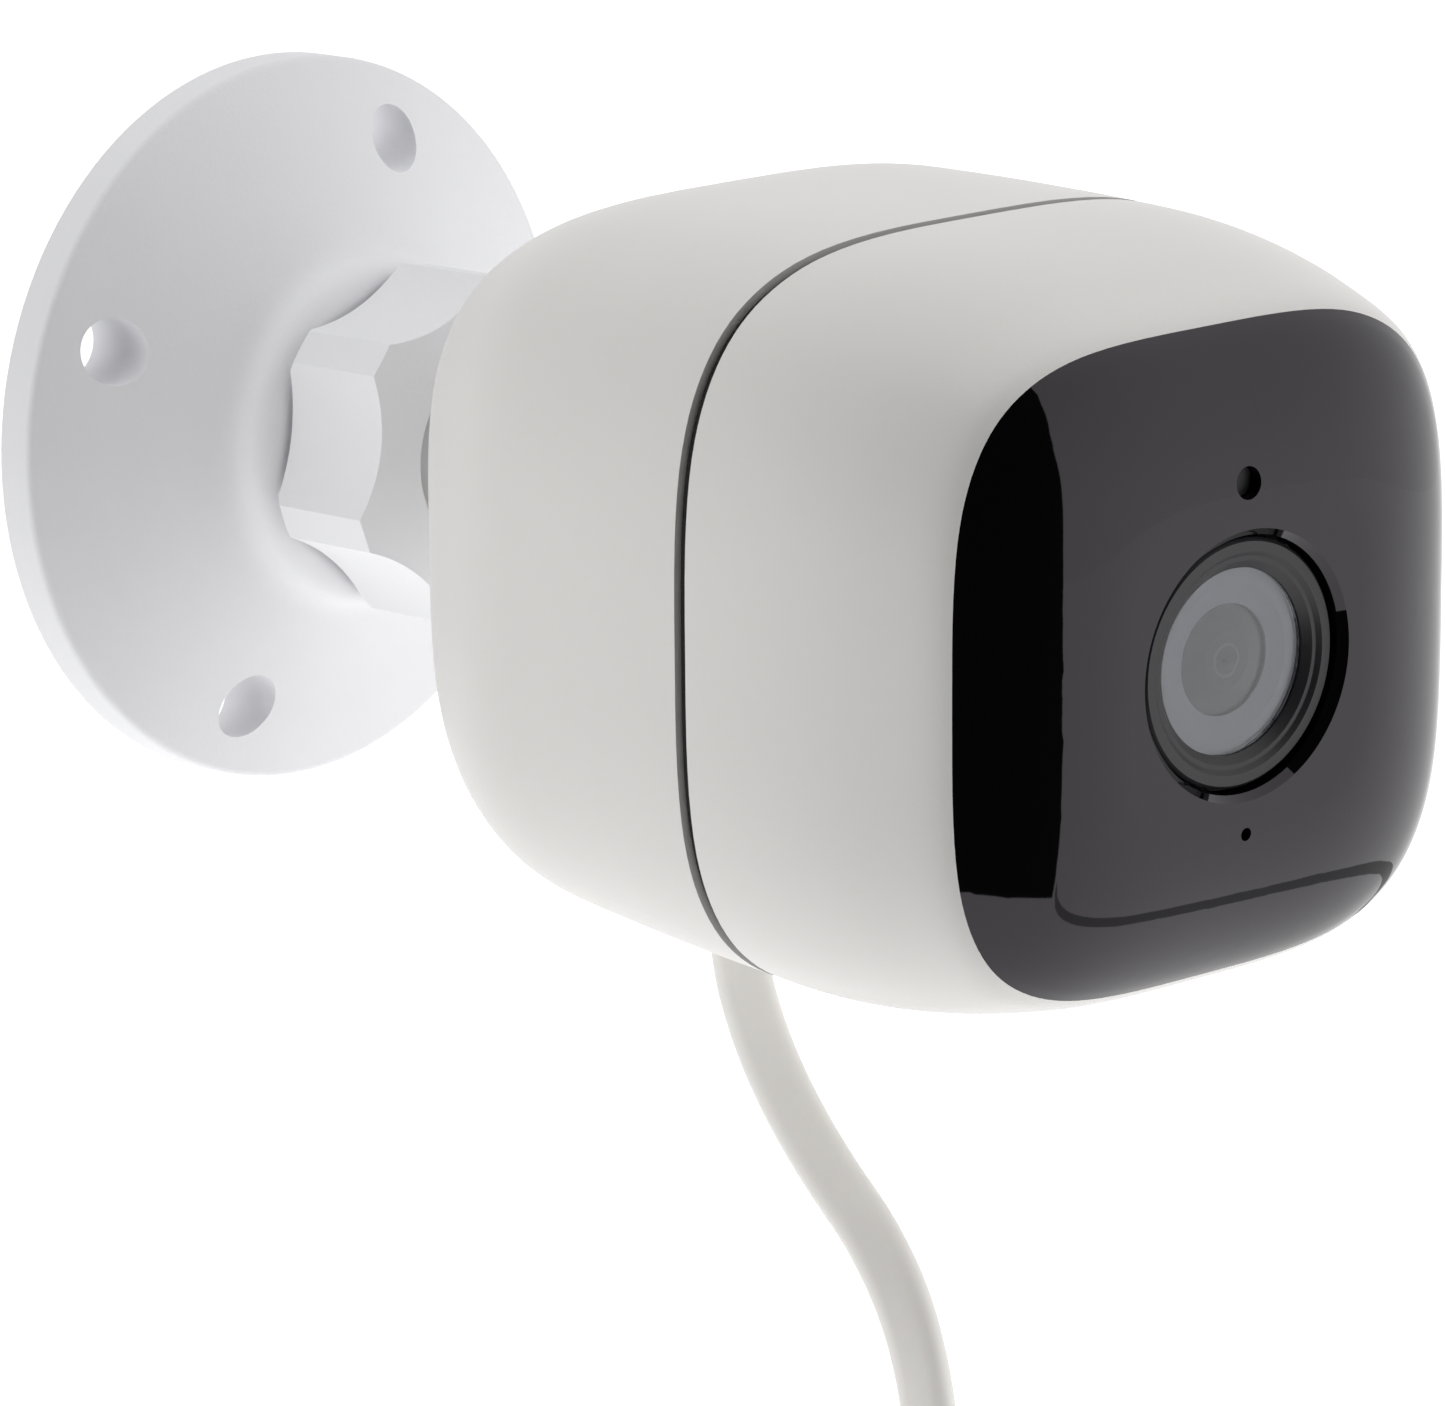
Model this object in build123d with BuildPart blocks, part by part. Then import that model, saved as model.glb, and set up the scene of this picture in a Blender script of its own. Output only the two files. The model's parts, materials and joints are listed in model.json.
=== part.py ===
from build123d import *
import os
from math import acos, asin, cos, pi, radians, sin, sqrt, tan

# A wall camera: a round wall plate with a ball joint, and a soft square head that turns on the ball.
# Origin: centre of the wall plate's back face. The wall is the plane y = 0, the camera reaches out
# along -Y, and +Z is up. Millimetres.

# ---- driving dimensions: wall plate -------------------------------------------------------------
plate_radius = 34.5
plate_rim = 3.85          # thickness at the edge
plate_cone_height = 6.5   # height of the front cone over the wall at the screw holes
plate_rim_round = 0.8
flare_side = 3.1          # a point of the flare: this far outside the neck
flare_rise = 3.6          # and this far over the cone at the screw holes
screw_circle = 27.9       # radius of the circle of the four wall screw holes
screw_hole_radius = 3.15
screw_hole_turn = 66.9    # first hole, from +X towards +Z
neck_radius = 16.4
shoulder_height = 16.2    # where the neck ends and the threaded hub begins
shoulder_round = 2.4      # the neck's end is rounded over this height and width
hub_radius = 11.9         # over the thread, which is drawn plain
hub_height = 25.5

# ---- driving dimensions: ball joint -------------------------------------------------------------
ball_out = 25.0           # ball centre to wall
ball_radius = 8.5
fit = 0.05                # running clearance, each side
pad_thickness = 0.95
pad_half_angle = 62
stem_radius = 3.5
stud_thread_radius = 3.0
stud_thread_length = 11.0
stud_chamfer = 0.6
stud_root_radius = 2.5
stud_root_depth = 10.0    # how deep the stud sits in the ball, from its front flat
ball_flat = 7.8           # ball centre to the flat that the stem stands on

# ---- driving dimensions: lock nut and clamp ring --------------------------------------------------
nut_lobes = 6
nut_radius = 16.35
nut_scallop_radius = 13.7
nut_flat_half_angle = 6
nut_turn = 79.5
nut_back = 16.8
nut_front = 28.1
nut_nose = 29.7
nut_opening = 9.5
nut_chamfer = 0.6
nut_lip = 0.8             # the opening's inner edge is this much smaller
nut_lip_land = 0.5
nut_wall = 1.7            # front wall over the clamp ring
thread_fit = 0.1
ring_gap = 0.4            # from the hub's end to the clamp ring
ring_fit = 0.2            # from the clamp ring's side to the nut's bore

# ---- driving dimensions: head -------------------------------------------------------------------
front_reach = 106.4       # ball centre to the flat front face
rest_pan = -6.7           # how the head is turned on the ball at rest
rest_tilt = 1.5
head_half = 33.0          # half the width at the widest station
widest = 31.0             # widest station, behind the front face
front_taper = 0.007       # half-width lost per mm squared ahead of the widest station
rear_taper = 0.001
front_round_wide = 13.0   # the front edge is a quarter ellipse: its two semi-axes
front_round_deep = 7.3
dome_wide = 28.7          # the rear dome is a quarter ellipse too
dome_deep = 31.2
dome_start = 59.8
rear_flat = 89.5          # station of the flat that the stud enters
corner_power = 3.5        # superellipse power at the seam
corner_power_gain = 0.3   # how much squarer the head is at either end
outline_points = 32
section_pitch = 3.2       # between the sections of the head's form
wall = 2.4
seam = 34.0
seam_gap = 1.4
seam_inset = 1.1          # the gasket stands this far below the surface
lip_length = 4.0          # the rear shell's lip inside the front shell
lip_wall = 2.0
lip_fit = 0.3
lip_root = 2.0            # how far the lip starts inside the rear shell

# ---- driving dimensions: front panel and optics -----------------------------------------------------
panel_depth = 5.4
panel_thickness = 2.4
panel_land = 22.3         # half-width of the plateau that the panel fits over
panel_fit = 0.3
tape_thickness = 0.6
tape_width = 2.0
tape_inset = 0.4
front_wall = 2.6          # under the panel's rim
lens_recess = 11.66       # radius of the panel's opening at the surface
lens_recess_chamfer = 0.6
barrel_face = 1.0         # station of the barrel's front face
barrel_radius = 10.7
barrel_wall_radius = 8.0
barrel_thread_radius = 6.0
barrel_head_length = 8.0
barrel_end = 24.0
glass_station = 2.2
glass_thickness = 1.4
ring_station = 3.9
ring_outer = 7.6
ring_inner = 4.75
inner_glass_station = 4.6
light_height = 15.6
light_radius = 1.4
mic_height = -14.5
mic_radius = 0.575
mic_seal_radius = 2.1
ir_spread = 17.0
ir_window = 2.6

# ---- driving dimensions: inside the head -----------------------------------------------------------
board = 1.6
sensor_board_station = 9.5
main_board_station = 29.0
main_board_size = (30.0, 46.0)
power_board_station = 44.0
power_board_size = (30.0, 36.0)
board_post_at = (12.0, 19.5)
board_post_radius = 2.4
board_screw_radius = 0.95
board_screw_head = (2.0, 1.3)     # radius and height
board_screw_length = 9.0
shell_post_at = 19.5
shell_post_radius = 3.8
rear_post_fit = 0.4       # how much slimmer the rear shell's posts are
post_rib = 1.8            # thickness of the ribs that hold the rear posts
post_rib_start = 1.0      # behind the lip
shell_screw_radius = 1.25
shell_screw_fit = 0.15
shell_screw_head = (2.3, 1.8)     # radius and height
shell_screw_sink = 2.6    # radius of the pocket for its head
shell_screw_seat = 26.0
shell_screw_end = 45.0
rear_post_end = 54.0
insert_radius = 4.6
insert_wall = 2.6         # of the boss round the insert
insert_spare = 0.6        # the insert is this much deeper than the stud's thread
holder_front = 16.0
holder_half = 8.5
holder_bore = 4.4
holder_corner = 1.0
sensor_pocket = (11.0, 3.2)       # side and depth, for the filter and the sensor
sensor_post_pitch = (40.0, 15.0)
sensor_post_radius = 1.5
barrel_bore = 5.2
barrel_fit = 0.5
spacer_pitch = (25.0, 28.0)
spacer_radius = 2.0
spacer_bore = 0.9
card_top = -5.0
card_size = (11.0, 15.0)
card_thickness = 1.0

# ---- driving dimensions: underside and lead ------------------------------------------------------
cover_front = 44.0
cover_length = 17.0
cover_half = 13.0
cover_gap = 0.5
cover_pin_radius = 0.7
cover_pin_back = 1.0      # pin centre behind the cover's front edge
cover_pin_up = 1.2        # pin centre above the cover's outer face
reset_hole_at = (-22.0, 62.5)
reset_hole_radius = 1.1
button_fit = 0.1
button_travel = 0.8
button_top = -22.8
button_tip = -28.3
button_head = (1.7, 1.1)  # radius and height
switch_size = 6.0
switch_height = 3.5
switch_shelf = (15.0, 1.6)        # width and thickness of the wall that carries the switch
speaker_station = 20.0
speaker_radius = 8.5
speaker_height = 4.2
speaker_floor = -28.0
speaker_rim = 1.2
speaker_fit = 0.1
sound_hole_radius = 0.7
sound_rings = ((0.01, 1), (3.2, 6), (6.0, 12))    # radius of each ring of holes, and how many
gland_station = 67.0
gland_hole = 3.6
gland_seat = -25.3
gland_boss = 7.4
gland_flange = (5.8, 1.5)         # radius and thickness inside the shell
gland_collar = (4.2, 1.3)         # outside
gland_end = -33.5
wires_radius = 1.4
lead_radius = 2.5
coil_turn_radius = 28.0
lead_width = 5.2          # the flat lead's width, and the pitch of its turns in the coil
coil_thickness = 3 * lead_width
coil_corner = 3.5
tie_width = 9.0
tie_thickness = 1.0
tie_slack = 0.6           # from the coil's outline to the tie, each side
relief_length = 10.0
relief_wall = (0.5, 1.1)  # round the lead where the relief begins and at the plug
plug_size = (15.0, 7.4, 22.0)
plug_corner = 2.4
plug_shell_size = (12.0, 4.5, 12.0)
plug_shell_wall = 0.3
plug_tongue_size = (11.2, 1.9, 11.0)
plug_tongue_off = 0.9     # from the plug's middle

os.makedirs("parts", exist_ok=True)

# ---- frames ---------------------------------------------------------------------------------------
wall_plane = Plane(origin=(0, 0, 0), x_dir=(1, 0, 0), z_dir=(0, -1, 0))
head_place = Location((0, -ball_out, 0), (0, 0, rest_pan)) * Location((0, 0, 0), (rest_tilt, 0, 0))
head_plane = Plane(head_place)                                 # X right, Y to the wall, Z up
lens_plane = Plane(head_place * Location((0, 0, 0), (90, 0, 0)))  # X right, Y up, Z to the front


def out(height):
    """Plane parallel to the wall, this far from it."""
    return wall_plane.offset(height)


def station(behind):
    """Plane across the lens axis, this far behind the head's front face; its normal faces forward."""
    return lens_plane.offset(front_reach - behind)


def level(height):
    """Level plane of the head at this height over the lens axis; its Y runs to the wall."""
    return head_plane.offset(height)


def back(behind):
    """Y on a level plane of a place this far behind the head's front face."""
    return behind - front_reach


def half_width(behind, inset=0.0):
    """Half the head's width at a station, on its outer face or on a face that far inside it."""
    taper = front_taper if behind < widest else rear_taper
    side = head_half - taper * (behind - widest) ** 2
    if behind > dome_start:
        along = (behind - dome_start) / (dome_deep - inset)
        return side - dome_wide + (dome_wide - inset) * sqrt(1 - along**2)
    if behind < front_round_deep:
        along = (front_round_deep - behind) / front_round_deep
        return side - front_round_wide + front_round_wide * sqrt(1 - along**2) - inset
    return side - inset


def corner(behind):
    """Superellipse power at a station."""
    reach = seam if behind < seam else rear_flat - seam
    return corner_power + corner_power_gain * ((behind - seam) / reach) ** 2


class Squircle(BaseSketchObject):
    """A superellipse, |x|^p + |y|^p = half^p, through points at even angles."""

    def __init__(self, half, power, rotation=0, align=None, mode=Mode.ADD):
        points = []
        for place in range(outline_points):
            turn = 2 * pi * place / outline_points
            spread = abs(cos(turn)) ** power + abs(sin(turn)) ** power
            reach = half / spread ** (1 / power)
            points.append((reach * cos(turn), reach * sin(turn)))
        with BuildSketch() as outline:
            with BuildLine():
                Spline(*points, periodic=True)
            make_face()
        super().__init__(obj=outline.sketch, rotation=rotation, align=align, mode=mode)


def even_stations(start, end):
    """Stations from start to end, evenly spaced at about the section pitch."""
    steps = round(abs(end - start) / section_pitch)
    return [start + (end - start) * place / steps for place in range(steps + 1)]


def head_form(stations, inset=0.0):
    """Solid through the head's sections at these stations."""
    with BuildPart() as form:
        for behind in stations:
            with BuildSketch(station(behind)):
                Squircle(half_width(behind, inset), corner(behind))
        loft()
    return form.part


def dome_stations(end, inset=0.0):
    """Stations down the rear dome at even turns of its ellipse, ending at the given one."""
    deep = dome_deep - inset
    last = asin((end - dome_start) / deep)
    steps = 8
    return [dome_start + deep * sin(last * place / steps) for place in range(1, steps + 1)]


def round_stations():
    """Stations round the front edge at even turns of its ellipse, from the front face back."""
    last = acos(1 - panel_depth / front_round_deep)
    steps = 7
    return [front_round_deep * (1 - cos(last * place / steps)) for place in range(steps + 1)]


def shell_posts():
    """Places of the four screws that hold the two shells together."""
    return GridLocations(2 * shell_post_at, 2 * shell_post_at, 2, 2)


def board_posts():
    """Places of the four screws that hold the main board."""
    return GridLocations(2 * board_post_at[0], 2 * board_post_at[1], 2, 2)


def save(builder, name):
    """Label a finished piece and write it."""
    builder.part.label = name
    export_step(builder.part, f"parts/{name}.step")


# ==== wall mount ===================================================================================
pocket_radius = ball_radius + fit + pad_thickness + 2 * fit

with BuildPart() as wall_plate:
    with BuildSketch(Plane.XY):
        with BuildLine():
            Polyline((0, 0), (plate_radius, 0), (plate_radius, -plate_rim),
                     (screw_circle, -plate_cone_height))
            Spline((screw_circle, -plate_cone_height),
                   (neck_radius + flare_side, -plate_cone_height - flare_rise),
                   (neck_radius, -shoulder_height + shoulder_round),
                   tangents=[(-1, -0.36), (0, -1)])
            RadiusArc((neck_radius, -shoulder_height + shoulder_round),
                      (neck_radius - shoulder_round, -shoulder_height), shoulder_round)
            Polyline((neck_radius - shoulder_round, -shoulder_height), (hub_radius, -shoulder_height),
                     (hub_radius, -hub_height), (0, -hub_height), (0, 0))
        make_face()
    revolve(axis=Axis.Y)
    with Locations((0, -ball_out, 0)):
        Sphere(pocket_radius, mode=Mode.SUBTRACT)
    with BuildSketch(out(0)):
        with PolarLocations(screw_circle, 4, start_angle=screw_hole_turn):
            Circle(screw_hole_radius)
    extrude(amount=shoulder_height, mode=Mode.SUBTRACT)
    fillet(wall_plate.edges().filter_by(GeomType.CIRCLE).filter_by(
        lambda e: abs(e.radius - plate_radius) < 0.01).sort_by(Axis.Y)[0], radius=plate_rim_round)
save(wall_plate, "wall_plate")

with BuildPart() as lock_nut:
    with BuildSketch(out(nut_back)):
        with BuildLine():
            lobe_pitch = 360 / nut_lobes
            for lobe in range(nut_lobes):
                middle = nut_turn + lobe * lobe_pitch
                ends = [middle - nut_flat_half_angle, middle + nut_flat_half_angle,
                        middle + lobe_pitch - nut_flat_half_angle]
                first, second, third = [
                    (nut_radius * cos(radians(turn)), nut_radius * sin(radians(turn)))
                    for turn in ends]
                valley = radians(middle + lobe_pitch / 2)
                Line(first, second)
                ThreePointArc(second, (nut_scallop_radius * cos(valley),
                                       nut_scallop_radius * sin(valley)), third)
        make_face()
    extrude(amount=nut_nose - nut_back)
    with BuildSketch(Plane.XY):
        with BuildLine():
            Polyline((0, -nut_back), (nut_radius - nut_chamfer, -nut_back),
                     (nut_radius, -nut_back - nut_chamfer), (nut_radius, -nut_front),
                     (nut_opening, -nut_nose), (0, -nut_nose), (0, -nut_back))
        make_face()
    revolve(axis=Axis.Y, mode=Mode.INTERSECT)
    with BuildSketch(Plane.XY):
        with BuildLine():
            Polyline((0, -nut_back), (hub_radius + thread_fit, -nut_back),
                     (hub_radius + thread_fit, -nut_nose + nut_wall),
                     (nut_opening - nut_lip, -nut_nose + nut_wall),
                     (nut_opening - nut_lip, -nut_nose + nut_wall - nut_lip_land),
                     (nut_opening, -nut_nose), (0, -nut_nose), (0, -nut_back))
        make_face()
    revolve(axis=Axis.Y, mode=Mode.SUBTRACT)
save(lock_nut, "lock_nut")

ring_back = hub_height + ring_gap
ring_front = nut_nose - nut_wall

with BuildPart() as clamp_ring:
    with BuildSketch(out(ring_back)):
        Circle(hub_radius + thread_fit - ring_fit)
    extrude(amount=ring_front - ring_back)
    with Locations((0, -ball_out, 0)):
        Sphere(ball_radius + fit, mode=Mode.SUBTRACT)
save(clamp_ring, "clamp_ring")

with BuildPart() as ball_pad:
    with BuildSketch(Plane.XY):
        reach = ball_radius + fit + pad_thickness
        side, axial = sin(radians(pad_half_angle)), cos(radians(pad_half_angle))
        half_side, half_axial = sin(radians(pad_half_angle / 2)), cos(radians(pad_half_angle / 2))
        inner = ball_radius + fit
        with BuildLine():
            Line((0, -ball_out + inner), (0, -ball_out + reach))
            ThreePointArc((0, -ball_out + reach), (reach * half_side, -ball_out + reach * half_axial),
                          (reach * side, -ball_out + reach * axial))
            Line((reach * side, -ball_out + reach * axial), (inner * side, -ball_out + inner * axial))
            ThreePointArc((inner * side, -ball_out + inner * axial),
                          (inner * half_side, -ball_out + inner * half_axial),
                          (0, -ball_out + inner))
        make_face()
    revolve(axis=Axis.Y)
save(ball_pad, "ball_pad")

# ==== ball and stud ================================================================================
with BuildPart() as ball:
    with Locations(head_place):
        Sphere(ball_radius)
    with BuildSketch(lens_plane.offset(ball_flat)):
        Circle(ball_radius)
    extrude(amount=ball_radius, mode=Mode.SUBTRACT)
    with BuildSketch(lens_plane.offset(ball_flat - stud_root_depth)):
        Circle(stud_root_radius)
    extrude(amount=stud_root_depth, mode=Mode.SUBTRACT)
save(ball, "ball")

stem_end = front_reach - rear_flat - lip_fit

with BuildPart() as ball_stud:
    with BuildSketch(lens_plane.offset(ball_flat - stud_root_depth)):
        Circle(stud_root_radius)
    extrude(amount=stud_root_depth)
    with BuildSketch(lens_plane.offset(ball_flat)):
        Circle(stem_radius)
    extrude(amount=stem_end - ball_flat)
    with BuildSketch(lens_plane.offset(stem_end)):
        Circle(stud_thread_radius)
    extrude(amount=stud_thread_length)
    chamfer(ball_stud.edges().filter_by(GeomType.CIRCLE).sort_by(
        lambda e: (e.center() - head_plane.origin).length)[-1], length=stud_chamfer)
save(ball_stud, "ball_stud")

# ==== shells ========================================================================================
rear_start = seam + seam_gap / 2
front_end = seam - seam_gap / 2
hollow_end = rear_flat - wall
rear_solid = head_form(even_stations(rear_start, dome_start) + dome_stations(rear_flat))
rear_hollow = head_form(even_stations(rear_start + lip_length, dome_start)
                        + dome_stations(hollow_end, wall), wall)
lip_outer = half_width(seam) - wall - lip_fit
insert_length = stud_thread_length + insert_spare
cover_hinge_gap = cover_gap + 0.3
cover_front_edge = cover_front - cover_hinge_gap
cover_length_cut = cover_length + cover_gap + cover_hinge_gap
cover_pin_length = 2 * cover_half + 5
pin_station = cover_front + cover_pin_back
pin_height = -half_width(pin_station) + cover_pin_up
reset_x, reset_station = reset_hole_at
switch_rear = reset_station + switch_size / 2

with BuildPart() as rear_bosses:
    with BuildSketch(station(rear_post_end)):
        with shell_posts():
            Circle(shell_post_radius - rear_post_fit)
    extrude(amount=rear_post_end - rear_start - lip_fit)
    with BuildSketch(station(rear_post_end)):
        for turn in (45, 135, 225, 315):
            with Locations((1.3 * shell_post_at * sqrt(2) * cos(radians(turn)),
                            1.3 * shell_post_at * sqrt(2) * sin(radians(turn)))):
                Rectangle(0.6 * shell_post_at, post_rib, rotation=turn)
    extrude(amount=rear_post_end - rear_start - lip_length - post_rib_start)
    with BuildSketch(station(rear_flat)):
        Circle(insert_radius + insert_wall)
    extrude(amount=insert_length + post_rib)
    with BuildSketch(level(-head_half)):
        with Locations((0, back(gland_station))):
            Circle(gland_boss)
    extrude(amount=head_half + gland_seat)
    with BuildSketch(level(-head_half)):
        with Locations((reset_x - 2, back(switch_rear + switch_shelf[1] / 2))):
            Rectangle(*switch_shelf)
    extrude(amount=head_half + button_top + button_travel + 5)
    add(rear_solid, mode=Mode.INTERSECT)

with BuildPart() as rear_shell:
    add(rear_solid)
    with BuildSketch(station(rear_start + lip_root)):
        Squircle(lip_outer, corner_power)
    extrude(amount=lip_length + lip_root)
    add(rear_hollow, mode=Mode.SUBTRACT)
    with BuildSketch(station(rear_start + lip_length + 0.2)):
        Squircle(lip_outer - lip_wall, corner_power)
    extrude(amount=2 * lip_length + lip_root, mode=Mode.SUBTRACT)
    add(rear_bosses.part)
    with BuildSketch(station(rear_flat)):
        Circle(insert_radius)
    extrude(amount=insert_length, mode=Mode.SUBTRACT)
    with BuildSketch(station(rear_post_end - 1)):
        with shell_posts():
            Circle(shell_screw_radius)
    extrude(amount=rear_post_end, mode=Mode.SUBTRACT)
    with BuildSketch(level(-head_half - 1)):
        with Locations((0, back(gland_station))):
            Circle(gland_hole)
        with Locations((reset_x, back(reset_station))):
            Circle(reset_hole_radius)
    extrude(amount=head_half + gland_seat + wall + 2, mode=Mode.SUBTRACT)
    with BuildSketch(level(-head_half - 1)):
        with Locations((0, back(cover_front_edge + cover_length_cut / 2))):
            Rectangle(2 * (cover_half + cover_gap), cover_length_cut)
    extrude(amount=6, mode=Mode.SUBTRACT)
    with Locations(head_place * Location((0, back(pin_station), pin_height), (0, 90, 0))):
        Cylinder(cover_pin_radius, cover_pin_length + 1, mode=Mode.SUBTRACT)
save(rear_shell, "rear_shell")

with BuildPart() as service_cover:
    with BuildSketch(level(-head_half - 1)):
        with Locations((0, back(cover_front + cover_length / 2))):
            Rectangle(2 * cover_half, cover_length)
    extrude(amount=6)
    add(rear_solid, mode=Mode.INTERSECT)
    add(rear_hollow, mode=Mode.SUBTRACT)
    with Locations(head_place * Location((0, back(pin_station), pin_height), (0, 90, 0))):
        Cylinder(cover_pin_radius + fit, cover_pin_length, mode=Mode.SUBTRACT)
save(service_cover, "service_cover")

with BuildPart() as cover_pin:
    with Locations(head_place * Location((0, back(pin_station), pin_height), (0, 90, 0))):
        Cylinder(cover_pin_radius, cover_pin_length)
save(cover_pin, "cover_pin")

with BuildPart() as stud_insert:
    with BuildSketch(station(rear_flat)):
        Circle(insert_radius)
        Circle(stud_thread_radius + fit, mode=Mode.SUBTRACT)
    extrude(amount=insert_length)
save(stud_insert, "stud_insert")

plateau_front = panel_thickness + tape_thickness
land_power = corner(panel_depth)
wall_end = panel_depth + front_wall
front_solid = head_form([panel_depth] + even_stations(front_round_deep, front_end))
front_hollow = head_form(even_stations(wall_end, front_end + 0.01), wall)

with BuildPart() as front_posts:
    with BuildSketch(station(front_end)):
        with shell_posts():
            Circle(shell_post_radius)
    extrude(amount=front_end - panel_depth)
    with BuildSketch(station(main_board_station)):
        with board_posts():
            Circle(board_post_radius)
    extrude(amount=main_board_station - panel_depth)
    with BuildSketch(station(sensor_board_station)):
        with GridLocations(*sensor_post_pitch, 2, 2):
            Circle(sensor_post_radius)
    extrude(amount=sensor_board_station - panel_depth)
    with BuildSketch(level(-head_half)):
        with Locations((0, back(speaker_station))):
            Circle(speaker_radius + speaker_rim)
            Circle(speaker_radius + speaker_fit, mode=Mode.SUBTRACT)
    extrude(amount=head_half + speaker_floor + speaker_height - speaker_rim)
    add(front_solid, mode=Mode.INTERSECT)

with BuildPart() as front_shell:
    add(front_solid)
    add(front_hollow, mode=Mode.SUBTRACT)
    with BuildSketch(station(wall_end)):
        Squircle(panel_land, land_power)
    extrude(amount=wall_end - plateau_front)
    add(front_posts.part)
    with BuildSketch(station(wall_end)):
        Circle(barrel_radius + barrel_fit)
        with GridLocations(2 * ir_spread, 0, 2, 1):
            Circle(ir_window)
        with Locations((0, light_height)):
            Circle(light_radius + barrel_fit)
        with Locations((0, mic_height)):
            Circle(mic_seal_radius + button_fit)
    extrude(amount=wall_end, mode=Mode.SUBTRACT)
    with BuildSketch(station(shell_screw_seat)):
        with shell_posts():
            Circle(shell_screw_sink)
    extrude(amount=shell_screw_seat, mode=Mode.SUBTRACT)
    with BuildSketch(station(front_end)):
        with shell_posts():
            Circle(shell_screw_radius + shell_screw_fit)
    extrude(amount=front_end, mode=Mode.SUBTRACT)
    with BuildSketch(station(main_board_station)):
        with board_posts():
            Circle(board_screw_radius)
    extrude(amount=board_screw_length, mode=Mode.SUBTRACT)
    with BuildSketch(level(-head_half - 1)):
        with Locations((0, back(speaker_station))):
            for ring_radius, holes in sound_rings:
                with PolarLocations(ring_radius, holes):
                    Circle(sound_hole_radius)
    extrude(amount=head_half + speaker_floor + 2, mode=Mode.SUBTRACT)
save(front_shell, "front_shell")

with BuildPart() as seam_gasket:
    with BuildSketch(station(rear_start)):
        Squircle(half_width(seam) - seam_inset, corner_power)
        Squircle(lip_outer, corner_power, mode=Mode.SUBTRACT)
    extrude(amount=seam_gap)
save(seam_gasket, "seam_gasket")

# ==== front panel and lens ==========================================================================
with BuildPart() as front_panel:
    add(head_form(round_stations()))
    with BuildSketch(station(panel_depth)):
        Squircle(panel_land + panel_fit, land_power)
    extrude(amount=panel_depth - panel_thickness, mode=Mode.SUBTRACT)
    with BuildSketch(station(panel_depth)):
        Circle(lens_recess - lens_recess_chamfer)
        with Locations((0, light_height)):
            Circle(light_radius)
        with Locations((0, mic_height)):
            Circle(mic_radius)
    extrude(amount=panel_depth, mode=Mode.SUBTRACT)
    chamfer(front_panel.edges().filter_by(GeomType.CIRCLE).filter_by(
        lambda e: abs(e.radius - lens_recess + lens_recess_chamfer) < 0.01).sort_by(Axis.Y)[0],
        length=lens_recess_chamfer)
save(front_panel, "front_panel")

with BuildPart() as panel_tape:
    with BuildSketch(station(plateau_front)):
        Squircle(panel_land - tape_inset, land_power)
        Squircle(panel_land - tape_inset - tape_width, land_power, mode=Mode.SUBTRACT)
    extrude(amount=tape_thickness)
save(panel_tape, "panel_tape")

lens_axis = Axis(lens_plane.origin, lens_plane.z_dir)
lens_side = Plane(origin=station(0).origin, x_dir=lens_plane.x_dir, z_dir=-lens_plane.y_dir)
# On lens_side, X is the radius from the lens axis and Y is the station's distance ahead of the face.


def lens_ring(name, outline):
    """Turned piece on the lens axis, from (radius, station) pairs."""
    with BuildPart() as ring:
        with BuildSketch(lens_side):
            with BuildLine():
                Polyline([(radius, -behind) for radius, behind in outline], close=True)
            make_face()
        revolve(axis=lens_axis)
    save(ring, name)


lens_ring("lens_barrel", [(barrel_radius, barrel_face + 0.3), (barrel_radius - 0.3, barrel_face),
                          (9.5, barrel_face), (9.1, barrel_face + 0.35), (8.7, barrel_face + 0.35),
                          (barrel_wall_radius, glass_station - 0.25),
                          (barrel_wall_radius, ring_station + 1.2), (barrel_bore, ring_station + 1.2),
                          (barrel_bore, barrel_end), (barrel_thread_radius, barrel_end),
                          (barrel_thread_radius, barrel_face + barrel_head_length),
                          (barrel_radius, barrel_face + barrel_head_length)])
lens_ring("lens_front_glass", [(0, glass_station - 0.35), (4.0, glass_station - 0.26),
                               (barrel_wall_radius - 0.02, glass_station),
                               (barrel_wall_radius - 0.02, glass_station + 0.6),
                               (0, glass_station + 0.6)])
lens_ring("lens_spacer_ring", [(barrel_wall_radius - 0.02, ring_station - 1.05),
                               (6.6, ring_station - 1.05), (ring_inner, ring_station - 0.6),
                               (ring_inner, ring_station + 1.2),
                               (barrel_wall_radius - 0.02, ring_station + 1.2)])
lens_ring("lens_inner_glass", [(0, ring_station - 0.95), (2.5, ring_station - 0.8),
                               (ring_inner - 0.02, ring_station - 0.3),
                               (ring_inner - 0.02, ring_station + 1.2), (0, ring_station + 1.2)])
lens_ring("lens_rear_glass", [(0, barrel_end - 4), (barrel_bore, barrel_end - 3.6),
                              (barrel_bore, barrel_end - 2), (0, barrel_end - 1.5)])

# ==== boards and what they carry =====================================================================
def block(name, size, middle, rear, depth):
    """Rectangular piece on a station plane: its rear face's station and its depth forward."""
    with BuildPart() as piece:
        with BuildSketch(station(rear)):
            with Locations(middle):
                Rectangle(*size)
        extrude(amount=depth)
    save(piece, name)


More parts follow.
